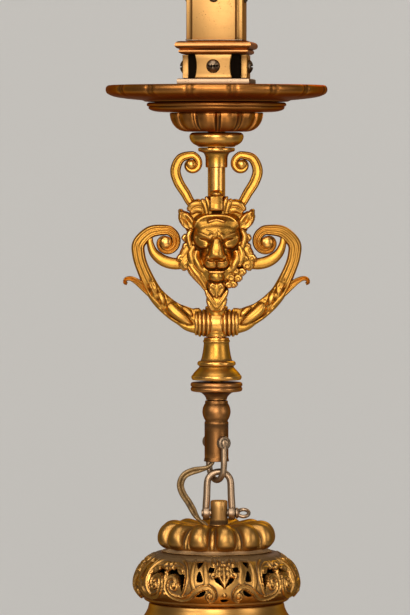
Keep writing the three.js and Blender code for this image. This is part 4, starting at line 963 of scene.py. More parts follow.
class Sculpture:
    """A relief on a grid of x and z in millimetres; height is how far it stands out of its back plane.
    What is drawn while side is -1 is mirrored."""
    NOTHING = -2.0

    def __init__(self, low, high, step):
        self.x, self.z = np.meshgrid(np.arange(low[0], high[0], step), np.arange(low[1], high[1], step))
        self.height = np.full(self.x.shape, self.NOTHING)
        self.side = 1

    def local(self, cx, cz, rx, rz, turn):
        c, s = math.cos(self.side * turn), math.sin(self.side * turn)
        u, v = self.x - self.side * cx, self.z - cz
        return (u * c + v * s) / rx, (-u * s + v * c) / rz

    def join(self, inside, field, soft=1.0):
        """The union of the relief with another one, with a fillet of that size between them."""
        field = np.where(inside, field, self.NOTHING)
        gap = np.clip(0.5 + 0.5 * (field - self.height) / soft, 0, 1)
        self.height = self.height * (1 - gap) + field * gap + soft * gap * (1 - gap)

    def add(self, change):
        self.height += np.where(self.height > -1, change, 0)

    def mound(self, cx, cz, rx, rz, rise, base=0.0, turn=0.0, soft=1.0, power=0.5):
        u, v = self.local(cx, cz, rx, rz, turn)
        d = u * u + v * v
        self.join(d < 1, base + rise * np.clip(1 - d, 0, 1) ** power, soft)

    def raise_by(self, cx, cz, rx, rz, rise, turn=0.0):
        """Adds a soft swelling, or a hollow where rise is negative, to what is there."""
        u, v = self.local(cx, cz, rx, rz, turn)
        self.add(rise * np.exp(-(u * u + v * v)))

    def stroke_distance(self, points, radii):
        """For each place, the distance to a line over the line's radius there, and that radius."""
        best = np.full(self.x.shape, 9.0)
        width = np.ones(self.x.shape)
        line = catmull(np.column_stack([points, radii]) * [self.side, 1, 1], 5)
        for a, b in zip(line, line[1:]):
            t, distance = to_segment(self.x, self.z, a, b)
            radius = np.maximum(a[2] + (b[2] - a[2]) * t, 0.05)
            d = distance / radius
            width = np.where(d < best, radius, width)
            best = np.minimum(best, d)
        return best, width

    def lock(self, points, radii, base, rise=1.0, soft=0.5):
        """A rounded ribbon that lies on the relief, such as a curl of hair."""
        d, r = self.stroke_distance(points, radii)
        self.join(d < 1, base + rise * r * np.sqrt(np.clip(1 - d * d, 0, 1)), soft)

    def ridge(self, points, radii, rise):
        """Adds a raised line, or a groove where rise is negative."""
        d, _ = self.stroke_distance(points, radii)
        self.add(rise * np.exp(-d * d * 1.6))

    def soften(self):
        h = self.height
        near = (np.roll(h, 1, 0) + np.roll(h, -1, 0) + np.roll(h, 1, 1) + np.roll(h, -1, 1)) / 4
        self.height = np.where(h > -0.5, h * 0.5 + near * 0.5, h)


def sculpt_lion():
    """The lion: a fan-shaped crest, ears, a low brow, a broad nose, a curled mane and a bound beard."""
    s = Sculpture((-35, -60), (35, 45), 0.36)

    def curl(x, z, r, base, way=1):
        """A snail curl of hair that winds inwards from its outer side, or from its inner one if way is -1."""
        s.mound(x, z, r + 0.9, r + 0.9, 1.5, base, soft=0.5)
        turns = [[x + way * r * (1 - 0.11 * i) * math.cos(i * 1.05),
                  z + r * (1 - 0.11 * i) * math.sin(i * 1.05)]
                 for i in range(8)]
        s.lock(turns, [1.5, 1.45, 1.35, 1.25, 1.1, 1.0, 0.9, 0.8], base + 0.7, 1.1, 0.3)

    # ground of the mane, back locks, then curls that differ from side to side as on the casting
    s.mound(0, -4, 25.5, 28, 5.0, 0.0)
    s.mound(0, -22, 17, 20, 4.4, 0.0)
    for s.side in (-1, 1):
        s.lock([[20, -3], [24.6, -8.6], [27.4, -14], [30.6, -15.4]], [3.2, 3.8, 3.2, 1.8], 2.2)
        s.lock([[20, -9], [24, -15], [27, -19], [26, -22.6]], [3.2, 3.8, 3.4, 2.0], 2.4)
        curl(24.0, 1.6, 2.5, 3.2)
        curl(24.2, -5.2, 2.4, 4.0, -1)
        curl(28.0, -14.2, 2.3, 3.8)
        curl(24.4, -20.4, 2.5, 4.0, -1)
        s.lock([[20.4, 8], [22.4, 3], [21.4, -3], [19.8, -8]], [1.8, 2.2, 2.2, 1.6], 5.2)
        s.lock([[18.8, -6], [20.4, -11], [19.4, -16.6], [17.4, -19.6]], [2.2, 3.0, 2.8, 1.6], 5.8)
        s.lock([[15.4, -9.6], [15.8, -15], [13.4, -20.6], [10.6, -24]], [2.2, 3.0, 3.0, 1.8], 7.4)
    s.lock([[-21, -18], [-18.6, -23.4], [-14, -28.6], [-10.4, -34], [-8.6, -39.4]],
           [3.4, 4.6, 4.8, 3.6, 1.7], 4.0)
    s.ridge([[-22, -21], [-18, -27], [-13.6, -32.6], [-9.8, -38.4]], [0.6, 0.7, 0.7, 0.5], -1.3)
    for x, z, r, base, way in ((20.0, -25.4, 2.5, 4.2, 1), (15.2, -24.6, 2.4, 6.0, -1),
                               (17.0, -30.4, 2.3, 4.4, 1),
                               (11.6, -30.0, 2.5, 6.0, -1), (13.4, -35.4, 2.0, 4.6, 1),
                               (9.8, -35.8, 1.9, 5.8, -1),
                               (22.2, -14.6, 2.1, 5.6, 1), (17.8, -18.4, 2.2, 6.6, -1)):
        curl(x, z, r, base, way)
    # ears
    for s.side in (-1, 1):
        s.mound(23.4, 15.4, 9.0, 5.6, 6.2, 1.2, 0.88, 1.0)
        s.mound(27.0, 20.2, 5.2, 2.6, 3.6, 2.2, 1.02, 0.8)
        s.ridge([[20.6, 8.8], [25.6, 10.6], [28.4, 15.6], [28.8, 22.4]], [0.8, 0.9, 0.9, 0.7], 1.4)
        s.raise_by(23.6, 15.8, 5.4, 2.4, -3.8, 0.95)
    # crest: two rolls, four narrow petals, the middle one and the ball on it
    for s.side in (-1, 1):
        s.lock([[21.4, 25.2], [18.4, 28.6], [13.6, 29.4], [10.0, 26.6]], [2.2, 3.0, 3.0, 2.0], 2.8, 1.1, 0.5)
        s.lock([[19.4, 22.6], [15.6, 24.6], [11.6, 24.0], [9.4, 21.4]], [2.0, 2.8, 2.8, 1.8], 2.8, 1.1, 0.5)
        s.lock([[7.6, 20.4], [8.4, 25.0], [10.0, 29.6], [11.2, 31.6]], [1.8, 2.3, 2.3, 1.4], 5.0, 1.0, 0.4)
        s.lock([[5.0, 21.6], [5.8, 26.4], [7.2, 31.6], [8.0, 33.8]], [1.5, 2.0, 1.9, 1.1], 7.0, 1.0, 0.4)
    tongue = np.interp(s.z, [23.6, 25.4, 29, 34.6], [13.4, 14.6, 14.2, 12.2]) - 1.5 * (s.x / 5.2) ** 2
    s.join((np.abs(s.x) < 5.3) & (s.z > 23.6) & (s.z < 35.2), tongue, 0.5)
    s.mound(0, 37.2, 5.3, 3.0, 9.4, 6.0, soft=0.3, power=0.45)
    # cap of hair over the brow, with its tuft
    s.mound(0, 13, 25.5, 16, 4.6, 0.4, soft=0.6, power=0.4)
    cap = np.clip(1 - (s.x / 19.6) ** 2 - ((s.z - 13.4) / 11.6) ** 2, 0, 1)
    s.join(cap > 0, 0.6 + 12.8 * cap ** 0.36 - 0.42 * np.clip(s.z - 15, 0, 12))
    s.ridge([[-18.6, 9.6], [-15, 16.2], [-9, 19.6], [0, 20.4], [9, 19.6], [15, 16.2], [18.6, 9.6]],
            [0.8] * 7, 1.0)
    # face: one broad rounded mass down to the cheekbones, and the muzzle under it
    s.mound(0, 3.4, 19.4, 14.6, 15.4, 0.8, soft=1.0, power=0.4)
    s.mound(0, -14, 13.2, 14.0, 14.6, 0.8, soft=2.2, power=0.42)
    s.mound(0, -19, 16.0, 18.0, 10.8, 0.6, soft=1.6, power=0.4)
    s.ridge([[-6.2, 15.2], [0, 16.8], [6.2, 15.2]], [1.2, 1.5, 1.2], 1.9)
    s.raise_by(0, 9.6, 7.6, 3.6, 1.2)
    for s.side in (-1, 1):
        s.raise_by(13.4, 9.4, 5.4, 3.4, 0.7)
        s.ridge([[15.4, 6.0], [12.4, 5.0], [8.6, 3.4], [5.2, 1.4]], [1.4, 1.8, 2.0, 1.9], 1.7)
        s.raise_by(4.1, 3.8, 2.1, 1.9, 1.9)
        s.ridge([[1.2, 8.2], [2.6, 6.8], [5.4, 7.0], [8.4, 8.6]], [0.6, 0.7, 0.7, 0.5], -0.5)
        s.ridge([[13.4, 1.6], [11.2, 1.0], [8.0, 0.2], [4.8, -1.8]], [0.4, 0.7, 1.0, 1.1], -2.3)
        s.raise_by(8.0, -1.4, 3.4, 1.3, -1.0, 0.2)
        s.mound(8.3, -1.3, 2.4, 0.9, 1.2, 11.9, 0.26, 0.4)
        s.ridge([[17.6, 2.2], [17.2, -2.0], [14.0, -5.0], [8.6, -5.2]], [1.8, 2.4, 2.4, 1.6], 1.5)
        s.raise_by(5.0, -5.4, 1.7, 4.0, -2.4)
        s.raise_by(13.4, -11.4, 2.8, 3.4, -1.8)
        s.raise_by(9.6, -9.6, 2.4, 3.4, -1.2)
    s.ridge([[0, 6.4], [0, 4.2], [0, 1.8]], [0.8, 0.8, 0.7], -0.7)
    # nose with its flat bridge, nostrils, lips and pads
    width = np.interp(s.z, [-14, -10.4, 0.6], [6.0, 5.4, 2.7])
    top = np.interp(s.z, [-15.4, -13.8, -12, -8, -3, 1, 3.4], [15.0, 19.8, 21.0, 20.9, 20.3, 19.2, 16.0])
    away = np.abs(s.x) / width
    s.join((away < 1.25) & (s.z > -15.2) & (s.z < 2.6), top - 2.1 * away ** 4, 0.7)
    s.raise_by(0, -10.8, 3.4, 2.6, 1.0)
    for s.side in (-1, 1):
        s.mound(6.0, -13.4, 2.9, 2.4, 3.4, 15.0, 0.3, 0.6)
        s.mound(4.2, -18.2, 5.9, 4.8, 5.0, 12.6, 0.2, 1.4)
        s.ridge([[8.4, -12.2], [7.4, -15.0], [4.4, -16.4], [1.2, -15.8]], [0.55, 0.6, 0.6, 0.5], -1.6)
        s.ridge([[8.9, -13.2], [7.8, -16.2], [4.6, -17.7], [1.4, -17.1]], [0.5, 0.55, 0.55, 0.5], 0.8)
    s.ridge([[0, -16.2], [0, -18.8], [0, -21.4]], [0.6, 0.5, 0.6], -1.5)
    s.ridge([[-9.8, -19.6], [-7.4, -22.4], [-3, -23.0], [0, -22.4], [3, -23.0], [7.4, -22.4], [9.8, -19.6]],
            [0.6, 0.8, 0.9, 0.8, 0.9, 0.8, 0.6], -3.0)
    # lip, chin and the bound beard
    s.mound(0, -28.6, 6.9, 5.9, 9.6, 4.6, soft=0.6, power=0.4)
    s.lock([[-5.6, -24.9], [0, -25.2], [5.6, -24.9]], [0.9, 1.1, 0.9], 13.4, 1.1, 0.4)
    s.mound(0, -37.4, 6.9, 8.6, 8.2, 3.6, soft=0.6, power=0.45)
    s.ridge([[-6.4, -32.6], [0, -33.8], [6.4, -32.6]], [0.7, 0.9, 0.7], -1.7)
    for s.side in (-1, 1):
        curl(2.9, -36.4, 1.6, 10.2)
        s.lock([[5.6, -34.8], [4.6, -39.4], [2.2, -43.4]], [1.2, 1.6, 1.2], 9.4, 1.0, 0.3)
    s.lock([[0, -38.4], [0, -41.6], [0, -45]], [1.5, 1.6, 1.0], 9.6, 1.0, 0.3)
    s.mound(0, -48.6, 6.9, 9.6, 5.4, 2.8)
    for s.side in (-1, 1):
        s.lock([[8.2, -40.4], [6.2, -44.6], [2.6, -49.4], [0.6, -53]], [1.4, 2.1, 2.3, 1.5], 6.6, 1.0, 0.4)
        s.lock([[7.0, -47.6], [5.6, -51.4], [3.4, -55.2]], [1.3, 1.9, 1.5], 5.8, 1.0, 0.4)
        s.ridge([[6.9, -42.4], [4.2, -47], [1.4, -52]], [0.4, 0.5, 0.4], -0.8)
    s.soften()
    return s


def build_mask(paint, sculpture, name, turn):
    """The sculpted face in its CAD node's place; its edge is carried back to the middle of the lantern.
    The mask at the back is the mirror image, so that the curls of both lie on the same side."""
    back, seam = 5.3, 0.4
    middle = level(name, 1) - 30
    h = sculpture.height if turn == 0 else sculpture.height[:, ::-1]
    inside = h > 0
    y = np.where(inside, -(back + h), -seam)
    points = np.stack([sculpture.x, y, sculpture.z + middle], -1).reshape(-1, 3)
    faces = grid_faces(*h.shape)
    keep = inside.ravel()[faces].any(1)
    mask = tidy(make_mesh(name + "_sculpted", moved(points, turn=turn), faces[keep][:, ::-1]), outward=False)
    work = bmesh.new()
    work.from_mesh(mask.data)
    drop_loose_points(work)
    work.to_mesh(mask.data)
    work.free()
    face_along(mask, lambda place: Vector((math.sin(turn), -math.cos(turn), 0)))
    finish_piece(mask, paint.gilt, name, sharp=75, relief=(14, 1.1), extra=lambda points: 0.16)


# Shackles and pins


POST_X = 2


def bow(name, jaw, rod, ear, reach, crown, pin_hole, middle, turn, x=0):
    """A forged shackle: a round rod bent to a bow, flattened into two eyes.
    The pin lies along Y before it is turned."""
    up = math.copysign(1, reach)
    thick = 2 * rod
    leg = crown + rod
    ear_y = jaw / 2 + thick / 2
    arc = reach - up * leg
    stops = [[0, -ear_y, 0], [0, -ear_y, arc * 0.22], [0, -leg - (ear_y - leg) * 0.4, arc * 0.6]]
    stops += [[0, leg * math.cos(a), arc + up * leg * math.sin(a)] for a in np.linspace(math.pi, 0, 7)]
    stops += [[0, -y, z] for _, y, z in stops[2::-1]]
    line = catmull(stops, 8)
    line[:, 2] += middle
    across = np.tile([1.0, 0, 0], (len(line), 1))
    pieces = [swept(name, line, lambda t: circle(rod * (1.0 + 0.06 * math.cos(t * 2 * math.pi)), 20), across)]
    for s in (-1, 1):
        inner, outer = s * jaw / 2, s * (jaw / 2 + thick)
        profile = rounded([[pin_hole, inner], [ear - 0.5, inner], [ear, inner + s * 0.6],
                           [ear, outer - s * 0.9],
                           [ear - 1.2, outer], [pin_hole, outer]], 2)
        pieces.append(spun("ear", profile, 40, z=middle))
    return placed(placed(joined(name, *pieces), turn=turn), x)


def pin_shape(name, outline, middle, turn, x=0):
    """A turned pin along Y: the outline is [radius, y]."""
    return placed(placed(spun(name, rounded(outline), 32, z=middle), turn=turn), x)


def build_upper_shackle(paint):
    """The small shackle through the tube, with its pin."""
    cross = middle_level("upper_pin")
    turn = math.radians(27)
    shackle = bow("upper_shackle_dressed", 20.8, 2.6, 5.5, -30.4, 10.4, 3.1, cross, turn)
    finish_piece(shackle, paint.grey, "upper_shackle", sharp=45, relief=(8, 0.4))
    end = 15.6
    outline = [[0.01, -end - 1.0], [2.2, -end - 0.9], [3, -end - 0.1], [3, end], [2.4, end + 0.6],
               [0.9, end + 0.7],
               [0.7, end + 0.2], [0.01, end + 0.1]]
    pin = pin_shape("upper_pin_dressed", outline, cross, turn)
    finish_piece(pin, paint.grey, "upper_pin", relief=(6, 0.3))


def build_lower_shackle(paint):
    """The bow shackle that hangs in the small one, with its eyed pin."""
    low = level("crown_post", 1) - 10.4
    turn = math.radians(90)
    shackle = bow("lower_shackle_dressed", 15, 2.8, 5.6, 33.2, 6.6, 3.1, low, turn, POST_X)
    finish_piece(shackle, paint.grey, "lower_shackle", sharp=45, relief=(8, 0.4))
    end = 13.1
    outline = [[0.01, -end - 3.2], [2.9, -end - 3], [4.4, -end - 1.9], [4.4, -end - 0.4], [3.6, -end - 0.3],
               [3, -end + 0.2], [3, end + 0.5], [2.4, end + 1], [0.01, end + 1]]
    shank = pin_shape("pin_shank", outline, low, turn, POST_X)
    tilt = math.radians(35)
    ring = circle(4.4, 40)
    loop = np.column_stack([ring[:, 0] * math.cos(tilt), ring[:, 1] - end - 6.4,
                            ring[:, 0] * math.sin(tilt) + low])
    loop = np.vstack([loop, loop[:1]])
    across = np.tile([-math.sin(tilt), 0, math.cos(tilt)], (len(loop), 1))
    eye = swept("pin_eye", loop, lambda t: circle(1.5, 14), across, closed_ends=False)
    pin = joined("lower_pin_dressed", shank, placed(placed(eye, turn=turn), POST_X))
    finish_piece(pin, paint.grey, "lower_pin", relief=(6, 0.3))


def build_crown_post(paint):
    """The post on the crown, with the nut under it."""
    foot = crown_level() - level("crown_post", 1)
    outline = [[0.01, 0], [5.4, 0], [6.6, -0.5], [7, -1.6], [7, foot + 2], [7.6, foot + 1.2],
               [7.8, foot + 0.5],
               [7.4, foot + 0.3], [3.9, foot + 0.3], [3.9, foot - 12], [0.01, foot - 12]]
    finish_turned(paint.brass, "crown_post", outline, 64, x=POST_X)
    painted(paint.brass, "crown_nut")


# Dome


def build_dome(paint, sizes):
    """The melon-shaped dome: one bulging lobe repeated twelve times, over a plain hollowed foot."""
    top = crown_level()
    lobes = 12
    crest = catmull([[13, 0.3], [18, 1.2], [25, 2.0], [31, 3.0], [37, 3.6], [42.6, 1.6], [46.4, -3.0],
                     [47.8, -8.6],
                     [46.8, -13.4], [43.4, -16.8], [39.6, -17.9]], 5)
    core = catmull([[12.6, 0.1], [17, 0.5], [23, 0.7], [28.6, 0.2], [33.4, -1.4], [37.4, -4.6], [40.0, -8.6],
                    [41.0, -12.0], [40.9, -15.0], [40.2, -17.0], [39.6, -17.9]], 5)
    crest = core + (crest - core) * sizes.lobe_swell * 200
    across = np.linspace(-1, 1, 41)
    away = np.abs(across)
    angle = across * math.pi / lobes - math.pi / 2
    rows = []
    for i, (inner, outer) in enumerate(zip(core, crest)):
        k = i / (len(core) - 1)
        width = 0.73 * math.sqrt(max(1 - (max(k - 0.7, 0) / 0.28) ** 2, 0.003))
        form = np.sqrt(np.clip(1 - (away / width) ** 2, 0, 1)) ** 0.9
        line = inner + np.outer(form, outer - inner)
        bead = 0.9 * np.exp(-(((away - 0.84) / 0.04) ** 2)) * smoothstep(0, 0.25, k) * smoothstep(0.98, 0.84,
                                                                                                  k)
        outward = np.array([0.35, 0.94]) if k < 0.35 else np.array([0.94, 0.35])
        line = line + np.outer(bead, outward)
        rows.append(np.column_stack([line[:, 0] * np.cos(angle), line[:, 0] * np.sin(angle),
                                     line[:, 1] + top]))
    lobe = make_mesh("dome_lobes", np.vstack(rows), grid_faces(len(core), len(across)))
    melon = repeated(placed(lobe, turn=math.radians(10.2)), lobes, paint.body)
    face_along(melon, lambda place: Vector((place.x, place.y, 0.01)))
    cap = turned("dome_cap", [[0.01, 0.1], [9.5, 0.1], [11.6, 0.2], [13, 0.2], [13.2, -2]], top, 72)
    outline = [[36, -13], [39, -16.6], [40.2, -17.4], [40.4, -18.2], [41.4, -19], [43.0, -19.4], [44, -19.9],
               [43.6, -20.2], [36, -20.2]]
    foot = turned("dome_foot", outline, top, 144, 2)
    finish_piece(joined("dome_dressed", melon, cap), paint.body, "dome", sharp=60, relief=(12, 1.3))
    finish_piece(foot, paint.dusty, "dome", relief=(6, 0.6), extra=lambda points: -0.55)


# Pierced band


def band_profile(step):
    """The outline of the band's face: [radius, z from its top], evenly spaced by step."""
    line = catmull([[44.2, -0.2], [47.6, -0.8], [52.4, -3.2], [57.2, -6.6], [61.4, -11.2], [64.4, -17],
                    [65.9, -23],
                    [65.6, -28.6], [63.2, -33.4], [59.2, -37], [54.6, -39.6]], 10)
    far = way_along(line)
    at = np.arange(0, far[-1], step)
    return np.column_stack([np.interp(at, far, line[:, 0]), np.interp(at, far, line[:, 1])])


def band_relief(u, z):
    """Height of the ornament and distance to the nearest hole, for u in millimetres round the band from the
    middle of a palmette, and z in millimetres below the top. Both sides of that middle are alike."""
    u = np.abs(u)
    z = -z
    height = np.zeros(u.shape)
    holes = np.full(u.shape, 9.0)

    def near(points, per_span=6):
        line = catmull(points, per_span)
        return np.min([to_segment(u, z, a, b)[1] for a, b in zip(line, line[1:])], 0)

    def rib(points, width, rise, per_span=6):
        nonlocal height
        d = near(points, per_span) / width
        height = np.maximum(height, rise * np.sqrt(np.clip(1 - d * d, 0, 1)))

    def strap(points, width, rise):
        """A broad flat ribbon with a raised line along both edges."""
        nonlocal height
        d = near(points) / width
        ribbon = 0.55 * rise * np.sqrt(np.clip(1 - d ** 4, 0,
                                               1)) + 0.6 * rise * np.exp(-(((d - 0.74) / 0.2) ** 2))
        height = np.maximum(height, np.where(d < 1.25, ribbon, 0))

    def pearl(x, y, radius, rise):
        nonlocal height
        d = np.hypot(u - x, z - y) / radius
        height = np.maximum(height, rise * np.sqrt(np.clip(1 - d * d, 0, 1)))

    def hole(points):
        nonlocal holes
        middle = np.mean(points, 0)
        points = (middle + (np.array(points) - middle) * 1.22).tolist()
        line = catmull(points + points[:1], 4)[:-1]
        inside = np.zeros(u.shape, bool)
        best = np.full(u.shape, 99.0)
        for a, b in zip(line, np.roll(line, -1, 0)):
            best = np.minimum(best, to_segment(u, z, a, b)[1])
            fall = (b[1] - a[1]) or 1e-9
            inside ^= ((a[1] > z) != (b[1] > z)) & (u < a[0] + (b[0] - a[0]) * (z - a[1]) / fall)
        holes = np.minimum(holes, np.where(inside, -best, best))

    quarter = 51.8

    def oval(points):
        """Points given from the middle of the cartouche, at u = quarter."""
        return [[quarter - x, y] for x, y in points]

    # palmette: two curls over three lobes, two lower curls and a pointed leaf
    for x, y, turn in ((8.5, 4.6, 1), (8.6, 13.8, -1)):
        size = 3.1 if turn > 0 else 2.5
        curl = [[x + size * math.cos(a) * (1 - k * 0.5), y - turn * size * math.sin(a) * (1 - k * 0.5)]
                for k, a in ((i / 9, math.pi * (1.05 - 1.65 * i / 9)) for i in range(10))]
        rib(curl, 0.95, 1.7, 3)
        pearl(x + 0.4, y + 0.4 * turn, 1.3, 1.5)
    rib([[0, 5.6], [1.6, 6.2], [3.1, 4.6], [1.8, 3.2], [0, 3.6]], 0.8, 1.3)
    pearl(3.5, 8.4, 2.1, 1.9)
    pearl(0, 9.4, 2.5, 2.0)
    pearl(3.6, 12.4, 2.4, 1.7)
    rib([[5.8, 9.6], [6.4, 12.6], [4.6, 15]], 1.1, 1.3)
    rib([[0, 11], [0, 15.4], [0, 22.6]], 1.7, 2.2)
    rib([[3.8, 14.2], [2.6, 17.6], [0.5, 22.4]], 1.2, 1.7)
    pearl(0, 29.4, 1.7, 1.9)
    # one strap: spiral inside the cartouche, along its foot, up and over into the volute beside the palmette
    band = oval([[12.6, 21.8], [11.4, 17.8], [7.6, 16.0], [3.9, 18.0], [2.8, 22.4], [3.8, 26.6], [6.8, 30.0],
                 [11.4, 31.8], [17.2, 32.4]])
    band += [[29, 31.0], [24.6, 27.6], [20.6, 24.6], [16.6, 23.0], [12.6, 23.2], [9.6, 25.4], [8.2, 28.6],
             [9.2, 32.2],
             [11.6, 33.6]]
    strap(band, 2.3, 2.0)
    rib(oval([[12.6, 21.8], [12.4, 24.6], [9.8, 25.8], [7.4, 24.0], [8.0, 21.2], [9.8, 20.8]]), 1.0, 2.2)
    rib([[11.6, 33.6], [13.9, 32.4], [14.2, 29.8], [12.2, 28.2], [10.8, 29.4]], 0.9, 2.0)
    pearl(quarter - 9.5, 22.6, 1.7, 2.6)
    pearl(11.9, 30.4, 1.9, 2.5)
    # double frame of the cartouche
    rib(oval([[0, 2.6], [8, 2.9], [14.6, 4.6], [19.2, 8.8], [21.3, 14.6], [21.2, 21], [19.2, 27], [16, 31]]),
        1.0, 1.7)
    rib(oval([[3, 5.4], [9, 5.6], [14.2, 7.6], [17.6, 11.4], [18.9, 16], [18.7, 21.4], [16.8, 26.4]]), 0.75,
        1.3)
    rib(oval([[0, 6.6], [3.2, 5.6], [5.2, 7.8], [3.6, 10.2], [1.0, 9.4]]), 1.0, 1.7)
    rib(oval([[5.0, 11.0], [8.4, 9.4], [12.6, 9.2], [15.6, 11.0]]), 1.4, 1.7)
    pearl(quarter, 12.8, 1.6, 2.2)
    rib(oval([[0, 15.4], [0, 18.8], [1.2, 21.6]]), 1.6, 1.6)
    pearl(quarter, 29.4, 1.4, 1.6)
    # satin strap between the frame and the palmette, and the rims
    rib([[27.6, 3.4], [27.4, 10], [26.4, 18], [24.6, 25]], 2.0, 0.9)
    rib([[17.4, 4.4], [16.0, 10], [14.6, 16], [14.4, 21]], 2.2, 0.9)
    rib([[0, 1.4], [quarter, 1.4]], 1.3, 1.0, 2)
    rib([[0, 38.6], [quarter, 38.6]], 1.2, 1.2, 2)
    hole([[25.2, 4.6], [19.6, 4.4], [22.4, 8.6]])
    hole([[22.4, 11.4], [20.0, 11.6], [17.8, 17.8], [22.6, 18.0]])
    hole([[8.0, 8.2], [12.6, 7.8], [13.0, 11.2], [9.2, 11.2]])
    hole([[7.8, 16.6], [5.0, 15.8], [3.0, 18.8], [1.2, 23.2], [3.6, 21.4], [7.0, 18.6]])
    hole([[23.4, 30.6], [18.6, 26.8], [15.6, 26.4], [16.2, 29.4], [20.0, 31.2]])
    hole([[0, 33.0], [3.4, 33.4], [2.4, 35.2], [0, 35.4]])
    hole(oval([[2.6, 11.6], [6.2, 11.0], [9.6, 10.6], [12.6, 13.4], [16.6, 13.8], [17.2, 19.4], [15.8, 25.8],
               [14.4, 22.2], [12.6, 16.4], [8.4, 13.9], [4.0, 15.4]]))
    return height * smoothstep(-0.2, 0.35, holes), holes


def build_band(paint):
    """A quarter of the pierced band, from the middle of one cartouche to the next, repeated four times."""
    top = level("pierced_band", 1)
    line = band_profile(0.48)
    columns = 217
    angle = np.linspace(-45, 45, columns)
    slope = direction(line)
    facing = np.column_stack([-slope[:, 1], slope[:, 0]])
    u = np.repeat(np.radians(angle)[None] * 66, len(line), 0)
    z = np.repeat(line[:, 1:], columns, 1)
    height, holes = band_relief(u, z)
    lift = height - 0.6
    around = np.radians(angle - 90)[None] + BAND_TURN
    radius = line[:, :1] + facing[:, :1] * lift
    points = np.stack([radius * np.cos(around), radius * np.sin(around),
                       line[:, 1:] + facing[:, 1:] * lift + top], -1)
    faces = grid_faces(len(line), columns)
    open_now = holes.ravel() < 0
    quarter = make_mesh("pierced_band_dressed", points.reshape(-1, 3), faces[~open_now[faces].all(1)])
    give_edges(quarter.data, math.pi / 4, 0.003)
    band = repeated(quarter, 4, paint.body)
    face_along(band, lambda place: Vector((place.x, place.y, 0)))

    def dusted(points):
        return -1.1 * smoothstep(top - 5.5, top - 2.5, points[:, 2])

    finish_piece(band, paint.body, "pierced_band", sharp=75, relief=(12, 0.6), extra=dusted)
    shelf = turned("band_shelf", [[40, -0.3], [44.6, -0.3], [44.6, -3], [40, -3]], top, 96, 0, closed=True)
    finish_piece(shelf, paint.body, "pierced_band", relief=(4, 0.3))
    # The lining is painted near black: painted shade behind the holes of the band.
    painted(paint.grime_and_painted_shade, "band_lining")


def give_edges(mesh, reach, depth):
    """Carries the rims of the band's holes inwards by depth, but not the sides that meet the next quarter,
    which lie at plus and minus reach round the axis."""
    work = bmesh.new()
    work.from_mesh(mesh)
    drop_loose_points(work)
    work.verts.index_update()
    rims = [edge for edge in work.edges if edge.is_boundary
            and not all(abs(abs(math.atan2(v.co.x,
                                           -v.co.y) - BAND_TURN) - reach) < 0.0002 for v in edge.verts)]
    made = bmesh.ops.extrude_edge_only(work, edges=rims)
    for v in (g for g in made["geom"] if isinstance(g, bmesh.types.BMVert)):
        v.co -= Vector((v.co.x, v.co.y, 0)).normalized() * depth
    work.to_mesh(mesh)
    work.free()


# Flex


def flex_route():
    """The middle line of the flex in millimetres, and how far its strands lie side by side at each point."""
    top = crown_level()
    stops = [(-2.6, 57, 0), (-2.6, 53, 0), (-4.0, 49.4, 0), (-8.2, 46.6, 0.2), (-13.2, 45.2, 0.5),
             (-19.2, 43.8, 1),
             (-24.8, 41.2, 1), (-28, 36.8, 1), (-28.8, 31.4, 0.9), (-26.6, 25.2, 0.8), (-22.6, 19.2, 0.8),
             (-19.4, 13.6, 0.8), (-16.8, 8.6, 0.4), (-13.4, 4.4, 0), (-9.9, 1.8, 0), (-8, -0.8, 0),
             (-7.6, -4.6, 0)]
    line = catmull([(x, -1.5, z + top, s) for x, z, s in stops], 7)
    return line[:, :3], line[:, 3]


def build_flex(paint):
    """Two round cores side by side, one sheath: it comes out of the tube and runs into the crown."""
    line, flat = flex_route()
    angle = flat * math.pi / 2
    out = np.cross(direction(line), [0.0, 1.0, 0.0])
    cores = []
    for shift in (-1.45, 1.45):
        core = line + out * (shift * np.sin(angle))[:, None] + np.outer(shift * np.cos(angle) * 0.7,
                                                                        [0, 1.0, 0])
        cores.append(swept("flex_core", core, lambda t: circle(1.5, 16)))
    flex = joined("flex_dressed", *cores)
    smooth(flex.data)
    flex.data.materials.append(paint.flex)
    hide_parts("flex")
    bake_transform(flex)


# Roof, glass, ring and lamp


def build_roof(paint):
    """The flared roof over its neck, and the bolts in it."""
    deep = level("roof", 0) - level("roof", 1)
    neck, edge = 53.6, 106.0
    outline = [[neck - 3, -0.2], [neck - 0.6, 0], [neck + 0.6, -1.2], [neck + 1.2, -5], [neck + 3, -9],
               [neck + 5.6, -12.8], [neck + 10, -18.4], [neck + 16, -24.4], [neck + 24, -30],
               [edge - 20, -34.6],
               [edge - 9, -38.6], [edge - 5, -39.6], [edge - 3, -39.4], [edge - 1, -40.4],
               [edge - 0.2, -42.4],
               [edge - 1.2, -44.4], [edge - 2.6, -45], [edge - 2.8, -46.4], [edge - 1.6, -47.2],
               [edge - 0.8, -48.4],
               [edge - 1.4, -50], [edge - 2.6, -50.6], [edge - 2.6, deep + 1], [edge - 3, deep],
               [edge - 5.4, deep],
               [edge - 5.8, deep + 1], [edge - 5.8, -48], [edge - 9, -44], [edge - 24, -37.6],
               [neck + 20, -32],
               [neck + 10, -23.4], [neck + 1, -13], [neck - 2.4, -6], [neck - 3, -3]]
    finish_turned(paint.body, "roof", outline, 160, 2, closed=True, relief=(8, 0.5), extra=lambda points: 0.4)
    painted(paint.screw, "tie_bolt_1", "tie_bolt_2", "tie_bolt_3")


def build_glass(paint):
    """The open cylinder of glass."""
    deep = level("glass", 0) - level("glass", 1)
    outline = [[94.2, deep + 0.4], [95.4, deep], [96.6, deep + 0.4], [97, deep + 1.4], [97, -1.4],
               [96.6, -0.4],
               [95.4, 0], [94.2, -0.4], [94, -1.4], [94, deep + 1.4]]
    finish_turned(paint.glass, "glass", outline, 160, 0, closed=True, sharp=60, relief=(2, 0.5))


